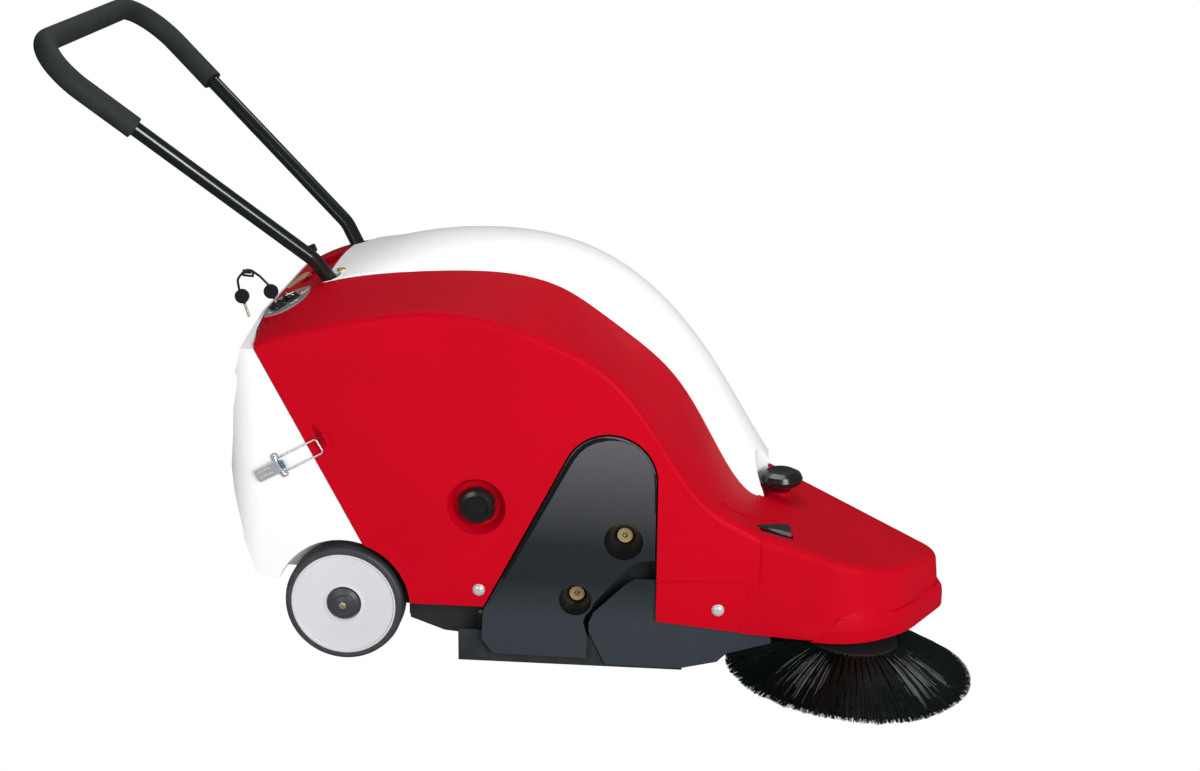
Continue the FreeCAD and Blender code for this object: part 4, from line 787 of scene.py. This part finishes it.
def panel_signs():
    bm = bmesh.new()
    thick = 0.0003
    on_plate = PANEL @ moved(0, 0, PLATE_TOP)
    for points in SIGNS:
        for start, end in zip(points, points[1:]):
            stroke(bm, start, end, 0.0009, 0.0, thick, on_plate)
    on_rocker = PANEL @ moved(ROCKER_AT, 0, ROCKER_UP) @ ROCKER_TILT
    stroke(bm, (-0.007, 0), (0.007, 0), 0.0012, 0.0046, 0.0061, on_rocker)
    stroke(bm, (0, -0.0105), (0, 0.0105), 0.0017, 0.0044, 0.0056, on_rocker)
    on_lock = PANEL @ moved(LOCK_AT, 0, 0.0075)
    for turn in (-2.2, -0.9, 0.9):
        spot = Vector((math.cos(turn), math.sin(turn))) * 0.0128
        stroke(bm, spot, spot * 1.12, 0.001, 0.0, thick, on_lock @ moved(0, 0, -0.0004))
    piece_from(bm, "panel_signs", "machine", PRINT_WHITE)


panel_signs()

# %% [markdown]
# ## Screws and bolts
# The shell's screws have domed heads with a hexagon socket. Smaller bolts sit in the brass
# rings, in the hub caps and in the chassis.

# %% Screws and bolts
WALL = 0.3
SCREW_ZINC = moulding("screw_zinc", (0.62, 0.62, 0.62), (0.48, 0.48, 0.48), 0.24, 0.003, 0.00006,
                      Metallic=0.35)
BOLT_BRASS = plated("bolt_brass", (0.5, 0.4, 0.24), (0.34, 0.26, 0.15), 0.3)


def socket_dome(radius, height, socket, deep):
    """A domed head on a thin washer, with a hexagonal recess."""
    steps = 6
    outline = [(0, 0), (radius, 0), (radius, height * 0.22), (radius * 0.9, height * 0.3)]
    for step in range(steps):
        angle = math.radians(14 + 62 * step / (steps - 1))
        across = max(radius * 0.88 * math.cos(angle), socket * 1.2)
        outline.append((across, height * (0.28 + 0.72 * math.sin(angle))))
    outline += [(socket, height * 0.97), (socket * 0.96, height - deep), (0, height - deep)]
    return turned(outline, 24)


def facing(side, x, y, z):
    """Place on a side wall, with local Z out of the machine."""
    return placed((x, side * y, z), (1, 0, 0), (0, side, 0))


def shell_screws():
    bm = bmesh.new()
    spots = [facing(-1, 0.229, WALL, 0.137), facing(1, 0.229, WALL, 0.137),
             facing(-1, 0.626, WALL + 0.0012, 0.12), facing(1, 0.626, WALL, 0.12)]
    absorb(bm, socket_dome(0.0102, 0.0056, 0.0022, 0.001), *spots)
    screws = smooth_piece(bm, "domed_screws", "machine", SCREW_ZINC)
    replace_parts(screws, "shell_screws")


def small_bolts():
    """Bolts in the two bushes, in the chassis and in the hub caps."""
    bm = bmesh.new()
    absorb(bm, socket_dome(0.0046, 0.0042, 0.0022, 0.0024), facing(-1, 0.469, 0.2633, 0.233),
           facing(-1, 0.39, 0.2633, 0.126))
    spots = [facing(side, *spot) for spot in ((0.2257, 0.257, 0.0786), (0.665, 0.2947, 0.084))
             for side in (-1, 1)]
    absorb(bm, socket_dome(0.0035, 0.002, 0.0012, 0.0008), *spots)
    piece_from(bm, "small_bolts", "machine", BOLT_BRASS)
    for body, side in (("wheel_right", -1), ("wheel_left", 1)):
        hub = bmesh.new()
        absorb(hub, socket_dome(0.006, 0.0018, 0.002, 0.001), facing(side, 0, 0.307, 0.1))
        piece_from(hub, "hub_bolt_" + body[6:], body, BOLT_BRASS)


shell_screws()
small_bolts()

# %% [markdown]
# ## Latches
# Each latch is pressed sheet: a lever with two ribs and a rounded lip, and a base with an
# ear and a rivet on each side. A blued spring tab sits where the wire loop starts.

# %% Latches
LATCH_TURN = math.radians(29.0)
SPRING_BLUE = plated("spring_steel", (0.22, 0.42, 0.52), (0.12, 0.22, 0.3), 0.22)


def latch_spot(side):
    """The latch's own plane: X towards the shell, Z out of the wall."""
    along = (math.cos(LATCH_TURN), 0, math.sin(LATCH_TURN))
    return placed((-0.0995, side * WALL, 0.343), along, (0, side, 0))


def ear(wide):
    """Base ear with a rounded end."""
    corners = [(-0.007, 0.01), (-0.007, 0.019), (-0.004, 0.0225), (0.004, 0.0225), (0.007, 0.019),
               (0.007, 0.01)]
    outline = [(x, y * wide) for x, y in corners[::wide]]
    return plate(outline, 0.0003, 0.0016, 0.0004, 1)


def latch_levers():
    bm = bmesh.new()
    lever = [(-0.042, -0.0085), (-0.0395, -0.011), (0.002, -0.011), (0.002, 0.011), (-0.0395, 0.011),
             (-0.042, 0.0085)]
    for side in (-1, 1):
        spot = latch_spot(side)
        absorb(bm, plate(lever, 0.0068, 0.0082, 0.0005), spot)
        absorb(bm, plate(oblong(0.024, 0.0028), 0.0078, 0.0092, 0.0006), *pair(spot, -0.027, 0.0045))
        absorb(bm, plate(oblong(0.042, 0.0013), 0.0022, 0.0074, 0.0004, 1), *pair(spot, -0.019, 0.0104))
        absorb(bm, plate(oblong(0.01, 0.02), 0.0003, 0.0016, 0.0003, 1), spot @ moved(-0.002, 0))
        absorb(bm, plate(oblong(0.009, 0.0014), 0.0003, 0.0075, 0.0004, 1), *pair(spot, 0, 0.0136))
        for wide in (-1, 1):
            absorb(bm, ear(wide), spot)
            absorb(bm, socket_dome(0.0028, 0.0018, 0.0009, 0.0006), spot @ moved(0, wide * 0.018, 0.0016))
        pin = turned([(0, -0.016), (0.0018, -0.016), (0.0018, 0.016), (0, 0.016)], 16)
        absorb(bm, pin, spot @ moved(0.0005, 0, 0.0055) @ Matrix.Rotation(math.pi / 2, 4, "X"))
    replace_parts(piece_from(bm, "latch_levers_pressed", "container", ZINC), "latch_levers")
    tabs = bmesh.new()
    for side in (-1, 1):
        spot = latch_spot(side)
        absorb(tabs, plate(oblong(0.0075, 0.015), 0.0058, 0.0075, 0.0006), spot @ moved(0.0075, 0))
        absorb(tabs, plate(oblong(0.004, 0.012), 0.0014, 0.0062, 0.0006), spot @ moved(0.0055, 0))
    piece_from(tabs, "latch_tabs", "container", SPRING_BLUE)


latch_levers()

# %% [markdown]
# ## Seal along the container's seam
# A black rubber strip closes the gap between the red shell and the container, and shows
# along the upper part of the seam.

# %% Seam seal
def tube_along(points, radius, sides=6):
    """A closed round strip through points."""
    bm = bmesh.new()
    rings = []
    for index, point in enumerate(points):
        ahead = points[min(index + 1, len(points) - 1)] - points[max(index - 1, 0)]
        turn = ahead.to_track_quat("Z", "Y").to_matrix().to_4x4()
        ring = bmesh.ops.create_circle(bm, segments=sides, radius=radius)["verts"]
        bmesh.ops.transform(bm, verts=ring, matrix=Matrix.Translation(point) @ turn)
        rings.append(ring)
    for first, second in zip(rings, rings[1:]):
        for step in range(sides):
            after = (step + 1) % sides
            bm.faces.new((first[step], first[after], second[after], second[step]))
    bm.faces.new(rings[0][::-1])
    bm.faces.new(rings[-1])
    face_out(bm)
    return bm


def seam_seal():
    bm = bmesh.new()
    for side in (-1, 1):
        run = [Vector((-0.078, side * 0.2985, 0.43)), Vector((-0.1105, side * 0.2985, 0.492)),
               Vector((-0.134, side * 0.2975, 0.5375)), Vector((-0.1395, side * 0.27, 0.545)),
               Vector((-0.1455, side * 0.23, 0.553)), Vector((-0.1462, side * 0.15, 0.569))]
        absorb(bm, tube_along(run, 0.0013))
    piece_from(bm, "seam_seal", "container", SEAL)


seam_seal()

# %% [markdown]
# ## Battery and castor details
# Once the hood is open, the battery shows a lid with six caps and two terminals. The
# castor's axle has a nut at each end.

# %% Battery lid, terminals and castor nuts
def battery_details():
    """The lid and the terminals, laid out from the battery's own box."""
    low, high = (Vector(corner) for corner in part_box("battery"))
    middle, top = (low + high) / 2, high.z
    lid_top = top + 0.006
    lid = bmesh.new()
    cover = plate(oblong(high.x - low.x - 0.004, high.y - low.y - 0.004), 0.0, 0.006, 0.002)
    absorb(lid, cover, moved(middle.x, middle.y, top))
    cap = [(0, 0), (0.01, 0), (0.01, 0.003), (0.008, 0.005), (0.004, 0.005), (0.004, 0.004), (0, 0.004)]
    row = [low.x + 0.04 + step * (high.x - low.x - 0.08) / 5 for step in range(6)]
    absorb(lid, turned(cap, 20), *(moved(x, middle.y, lid_top) for x in row))
    piece_from(lid, "battery_lid", "machine", KNOB_BLACK)
    posts = bmesh.new()
    post = [(0, 0), (0.012, 0), (0.012, 0.003), (0.009, 0.004), (0.008, 0.016), (0.006, 0.018), (0, 0.018)]
    absorb(posts, turned(post, 24), moved(low.x + 0.03, low.y + 0.03, lid_top),
           moved(high.x - 0.03, low.y + 0.03, lid_top))
    piece_from(posts, "battery_posts", "machine", BRASS)


def castor_nuts():
    bm = bmesh.new()
    for side in (-1, 1):
        move = placed((0.596, 0.04 + side * 0.0195, 0.04), (1, 0, 0), (0, side, 0))
        absorb(bm, socket_dome(0.0075, 0.0045, 0.003, 0.001), move)
    piece_from(bm, "castor_nuts", "castor_swivel", ZINC)


battery_details()
castor_nuts()

# %% [markdown]
# ## Hood corners
# Behind its two rear corners the hood's skin runs on round the handle's arms as a narrow
# lip, and on the right side the lip also carries the brass ring. It follows the hood's
# slope, which is given by its height at one corner and its fall to the rear and outwards.

# %% Lips round the handle's arms
HOOD_CORNER = Vector((-0.018, 0.101, 0.6286))
REAR_FALL, OUTER_FALL = 0.294, 0.118
HOOD_EDGE, HOOD_REAR = 0.1429, -0.05
ARM_AT, ARM_LEAN = Vector((-0.0445, 0.123)), Vector((-0.827, 0.562))
ARM_LONG, ARM_WIDE = 0.0185, 0.0175
RING_AT, RING_OUT = Vector((-0.03, 0.1)), 0.00805


def lip_outline(ringed):
    """Plan of a lip on the left: inner edge, round the arm, and a rounded tongue outside it."""
    corners = [Vector((HOOD_CORNER.x, HOOD_CORNER.y))]
    if ringed:
        for step in range(9):
            turn = math.radians(7.1 + 165.8 * step / 8)
            corners.append(RING_AT + Vector((math.cos(turn), math.sin(turn))) * RING_OUT)
    corners.append(Vector((HOOD_REAR, HOOD_CORNER.y)))
    across = Vector((ARM_LEAN.y, -ARM_LEAN.x))
    for step in range(10):
        turn = math.radians(108 + 20 * step)
        corners.append(ARM_AT + ARM_LEAN * ARM_LONG * math.cos(turn) - across * ARM_WIDE * math.sin(turn))
    corners += [Vector((-0.055, 0.1396)), Vector((-0.0582, 0.1402)), Vector((-0.0588, 0.1414)),
                Vector((-0.056, HOOD_EDGE)), Vector((HOOD_CORNER.x, HOOD_EDGE))]
    return corners


def hood_lips():
    bm = bmesh.new()
    for side, ringed in ((-1, True), (1, False)):
        outline = [(corner.x, side * corner.y) for corner in lip_outline(ringed)]
        lip = plate(outline, -0.0075, 0.0)
        for vert in lip.verts:
            out = abs(vert.co.y)
            height = HOOD_CORNER.z + REAR_FALL * (vert.co.x - HOOD_CORNER.x)
            vert.co.z += height - OUTER_FALL * (out - HOOD_CORNER.y)
            vert.co.z -= max(0.0, out - 0.139) * 0.6
        absorb(bm, lip)
    piece_from(bm, "hood_lips", "hood_lid", WHITE)


hood_lips()

# %% [markdown]
# ## Clamp head and key clip
# The clamp beside the right arm has a block for a head, and a flat oval clip closes the
# loop that joins the two keys.

# %% Clamp head
def clamp_head():
    foot, head = Vector((-0.066, -0.095, 0.6099)), Vector((-0.088, -0.095, 0.6626))
    bm = bmesh.new()
    stem = [(0, 0), (0.004, 0), (0.004, 0.01), (0.0032, 0.012), (0.0032, 0.05), (0, 0.05)]
    absorb(bm, turned(stem, 20))
    absorb(bm, plate(oblong(0.023, 0.013), 0.044, 0.0575, 0.0018, 3))
    absorb(bm, plate(oblong(0.009, 0.0085), 0.0375, 0.045, 0.0012, 2))
    bm.transform(placed(foot, (1, 0, 0.42), head - foot))
    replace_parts(piece_from(bm, "clamp_head", "machine", KNOB_BLACK), "clamp_knob")


clamp_head()

# %% Clip on the key loop
def loop_clip():
    """Flat oval clip at the top of the loop that joins the two keys."""
    bm = bmesh.new()
    place = placed((-0.1665, -0.1948, 0.6385), (1, 0, -0.08), (0, -1, 0))
    for side in (-1, 1):
        absorb(bm, plate(oblong(0.019, 0.0036), -0.0016, 0.0016, 0.001), place @ moved(0, side * 0.0042))
        absorb(bm, plate(oblong(0.0036, 0.011), -0.0014, 0.0014, 0.001), place @ moved(side * 0.008, 0))
    piece_from(bm, "loop_clip", "machine", KNOB_BLACK)


loop_clip()

# %% [markdown]
# ## Trim on the surface
# A bare tan plate lies behind the right arm. The slot on the nose opens into a dark scoop
# with a raised lip beside it, a black strip along the belt cover's rounded edge is painted
# shade, and two red ramps let the band round the nose fade out. Rays from the camera
# through points of the view lay this trim on the surface of a CAD node.

# %% Points of the view that the trim follows
LABEL_UPPER = ((287, 287.5), (292, 282.5), (297, 278.3), (302, 275.0), (306, 272.8), (310, 272.2))
LABEL_LOWER = ((289, 288.5), (294, 285.0), (299, 281.5), (304, 278.5), (308.5, 276.2), (312, 274.8))
SCOOP_UPPER = ((757, 525.3), (768, 525.0), (779, 524.5), (790, 526.0))
SCOOP_LOWER = ((758, 526.6), (768, 529.3), (779, 532.9), (791, 536.6))
LIP_PIXELS = ((722, 502), (729, 508), (738, 512), (748, 515.5), (759, 518.5), (770, 520.5), (777, 521))
BAND_CREASE = ((840.4, 619.4), (855.6, 618.5), (873.5, 614.9), (891.5, 608.6), (909.4, 599.6),
               (923.8, 589.8), (932.5, 583.0))
BAND_END_LEFT = ((772, 632.6), (781, 628.5), (792, 624.0), (806, 618.5))
BAND_END_RIGHT = ((815, 640.5), (825, 633.3), (834.5, 626.3), (844, 621.3))
COVER_RIM = ((485.4, 604.3), (504.8, 570.4), (525.8, 533.3), (547.0, 495.9), (564.5, 465.3), (569.8, 456.7),
             (576.0, 449.2), (584.1, 442.7), (594.7, 438.0), (609.0, 435.7), (623.3, 437.4), (636.0, 442.3),
             (646.2, 450.6), (653.3, 462.5), (656.6, 475.5), (657.2, 489.4), (656.6, 513.9))
RIM_WIDTHS = (3.0, 4.2, 5.0, 5.4, 5.6, 5.6, 5.6, 5.4, 5.2, 4.8, 4.2, 3.6, 3.0, 2.6, 2.3, 2.1, 1.8)
BAND_RISES = (0.12, 0.6, 1.0, 1.0, 1.0, 0.9, 0.5)
MIDDLE_ACROSS, MIDDLE_DOWN = 600, 385.5
# A near-black sheet for the painted shade along the belt cover's rounded edge.
EDGE_SHADE_BLACK = moulding("shaded_edge", (0.0045, 0.005, 0.006), (0.003, 0.0035, 0.004), 0.5, 0.002, 0.0001,
                      **{"Specular IOR Level": 0.12})
LABEL_TAN = moulding("bare_label", (0.4, 0.27, 0.13), (0.36, 0.23, 0.1), 0.45, 0.001, 0.00002)
report_finishes("trim colours")

# %% [markdown]
# A ray through each point finds its place on the node, and a thin sheet is laid there.

# %% Laying trim on a node
def shell_points(pixels, node="body_shell"):
    """Where the camera's rays through points of the view meet a node, and its normals."""
    shell = surface_of(node)
    turn = bpy.context.scene.camera.matrix_world.to_3x3()
    found = []
    for across, down in pixels:
        sideways, upwards = (across - MIDDLE_ACROSS) / FOCAL_PIXELS, (MIDDLE_DOWN - down) / FOCAL_PIXELS
        ray = turn @ Vector((sideways, upwards, -1.0))
        found.append(shell.ray_cast(CAMERA_PLACE, ray)[:2])
    return found


def rim_of(sheet):
    """The outer corners of a grid of vertices, in order."""
    left, right = [row[0] for row in sheet[1:-1]], [row[-1] for row in sheet[1:-1]]
    return sheet[0] + right + sheet[-1][::-1] + left[::-1]


def strip_on_shell(upper, lower, thick, rows=5, node="body_shell"):
    """A thin plate that follows a node between two rows of points."""
    bm = bmesh.new()
    top, under = [], []
    for step in range(rows):
        row = [Vector(start).lerp(Vector(end), step / (rows - 1)) for start, end in zip(upper, lower)]
        spots = shell_points(row, node)
        top.append([bm.verts.new(spot + normal * thick) for spot, normal in spots])
        under.append([bm.verts.new(spot - normal * 0.0005) for spot, normal in spots])
    for sheet in (top, under):
        for first, second in zip(sheet, sheet[1:]):
            for index in range(len(upper) - 1):
                bm.faces.new((first[index], first[index + 1], second[index + 1], second[index]))
    over, below = rim_of(top), rim_of(under)
    for index in range(len(over)):
        bm.faces.new((over[index - 1], over[index], below[index], below[index - 1]))
    face_out(bm)
    return bm


def beside(pixels, widths):
    """A row of points moved sideways, to the right of its run."""
    shifted = []
    for index, (across, down) in enumerate(pixels):
        before, after = pixels[max(index - 1, 0)], pixels[min(index + 1, len(pixels) - 1)]
        run = Vector((after[0] - before[0], after[1] - before[1])).normalized()
        shifted.append((across - run.y * widths[index], down + run.x * widths[index]))
    return shifted


def surface_trim():
    """Painted shade along the cover's edge, then the label, the scoop, both ramps and the lip."""
    # A black strip inside the cover's outline is painted shade on its rounded edge.
    rim_start = beside(COVER_RIM, [0.9] * len(COVER_RIM))
    rim = strip_on_shell(rim_start, beside(COVER_RIM, RIM_WIDTHS), 0.0006, 2, "belt_cover")
    piece_from(rim, "cover_edge_shade", "machine", EDGE_SHADE_BLACK)
    label = strip_on_shell(LABEL_UPPER, LABEL_LOWER, 0.0008)
    piece_from(label, "roof_label", "machine", LABEL_TAN)
    scoop = strip_on_shell(SCOOP_UPPER, SCOOP_LOWER, 0.0018)
    piece_from(scoop, "nose_scoop", "machine", BRUSH_BLACK)
    above = [(across - 5.0 * rise, down - 8.5 * rise)
             for (across, down), rise in zip(BAND_CREASE, BAND_RISES)]
    below = [(across + 1.6, down + 2.6) for across, down in BAND_CREASE]
    smooth_piece(strip_on_shell(above, below, 0.0003, 2), "band_fillet", "machine", RED)
    end = strip_on_shell(BAND_END_LEFT, BAND_END_RIGHT, 0.0003, 2)
    smooth_piece(end, "band_end", "machine", RED)
    lip_run = [spot + normal * 0.0003 for spot, normal in shell_points(LIP_PIXELS)]
    piece_from(tube_along(lip_run, 0.0016, 8), "nose_lip", "machine", RED, smooth=True)


surface_trim()

# %% [markdown]
# ## Studio
# A pale floor and a white surround, as in a product picture. Large soft lamps light the
# side that faces the camera, and the world fills the shadows. The floor and the world
# are white to the camera and much dimmer in reflections. As light, the floor is pale
# paper and the world about half as bright as it looks.

# %% Floor and world
WHITE_LIGHT = rgba(1, 1, 1)


def ray_kinds(start):
    """Two wires, at 1 for what the camera sees and for reflections."""
    return [start.node("ShaderNodeLightPath", output=kind) for kind in ("Is Camera Ray", "Is Glossy Ray")]


def make_floor():
    bm = bmesh.new()
    bmesh.ops.create_grid(bm, x_segments=1, y_segments=1, size=12.0)
    mesh = bpy.data.meshes.new("floor")
    bm.to_mesh(mesh)
    bm.free()
    floor = bpy.data.objects.new("floor", mesh)
    bpy.context.scene.collection.objects.link(floor)
    material = bpy.data.materials.new("floor_paper")
    start = fresh_tree(material)
    seen, glossy = ray_kinds(start)
    paper = start.node("ShaderNodeBsdfDiffuse", {}, {"Color": rgba(0.8, 0.8, 0.8)})
    white = start.node("ShaderNodeEmission", {}, {"Color": WHITE_LIGHT, "Strength": 1.0})
    dim = start.node("ShaderNodeEmission", {}, {"Color": WHITE_LIGHT, "Strength": 0.1})
    lit = start.node("ShaderNodeMixShader", {}, {0: glossy, 1: paper, 2: dim})
    close_tree(start.node("ShaderNodeMixShader", {}, {0: seen, 1: lit, 2: white}))
    mesh.materials.append(material)
    print("floor corners:", len(mesh.vertices))


def make_world():
    """The surround: 0.48 as light, 1.0 to the camera and 0.14 in reflections."""
    world = bpy.data.worlds.new("studio")
    bpy.context.scene.world = world
    start = fresh_tree(world)
    seen, glossy = ray_kinds(start)
    level = 0.48 + 0.52 * seen - 0.34 * glossy
    light = start.node("ShaderNodeBackground", {}, {"Color": WHITE_LIGHT, "Strength": level})
    close_tree(light, "ShaderNodeOutputWorld")


make_floor()
make_world()

# %% [markdown]
# The strongest lamp stands to the front right, a weaker one evens out the rear, and a third
# lights the hood from above, on the far side. Powers are in watts.

# %% Lamps
def soft_lamp(name, place, target, width, height, power):
    lamp = bpy.data.lights.new(name, "AREA")
    lamp.shape = "RECTANGLE"
    lamp.size = width
    lamp.size_y = height
    lamp.energy = power
    made = bpy.data.objects.new(name, lamp)
    made.location = place
    aim = Vector(target) - Vector(place)
    made.rotation_euler = aim.to_track_quat("-Z", "Y").to_euler()
    bpy.context.scene.collection.objects.link(made)


soft_lamp("key_lamp", (2.4, -3.4, 1.7), (0.4, 0.0, 0.4), 1.6, 1.6, 148)
soft_lamp("side_lamp", (-1.4, -3.6, 1.3), (0.2, 0.0, 0.4), 1.8, 1.4, 30)
soft_lamp("top_lamp", (0.2, 1.2, 3.4), (0.3, 0.0, 0.4), 2.0, 1.2, 34)
bpy.context.scene.view_settings.view_transform = "Standard"
print("lamps:", len(bpy.data.lights))
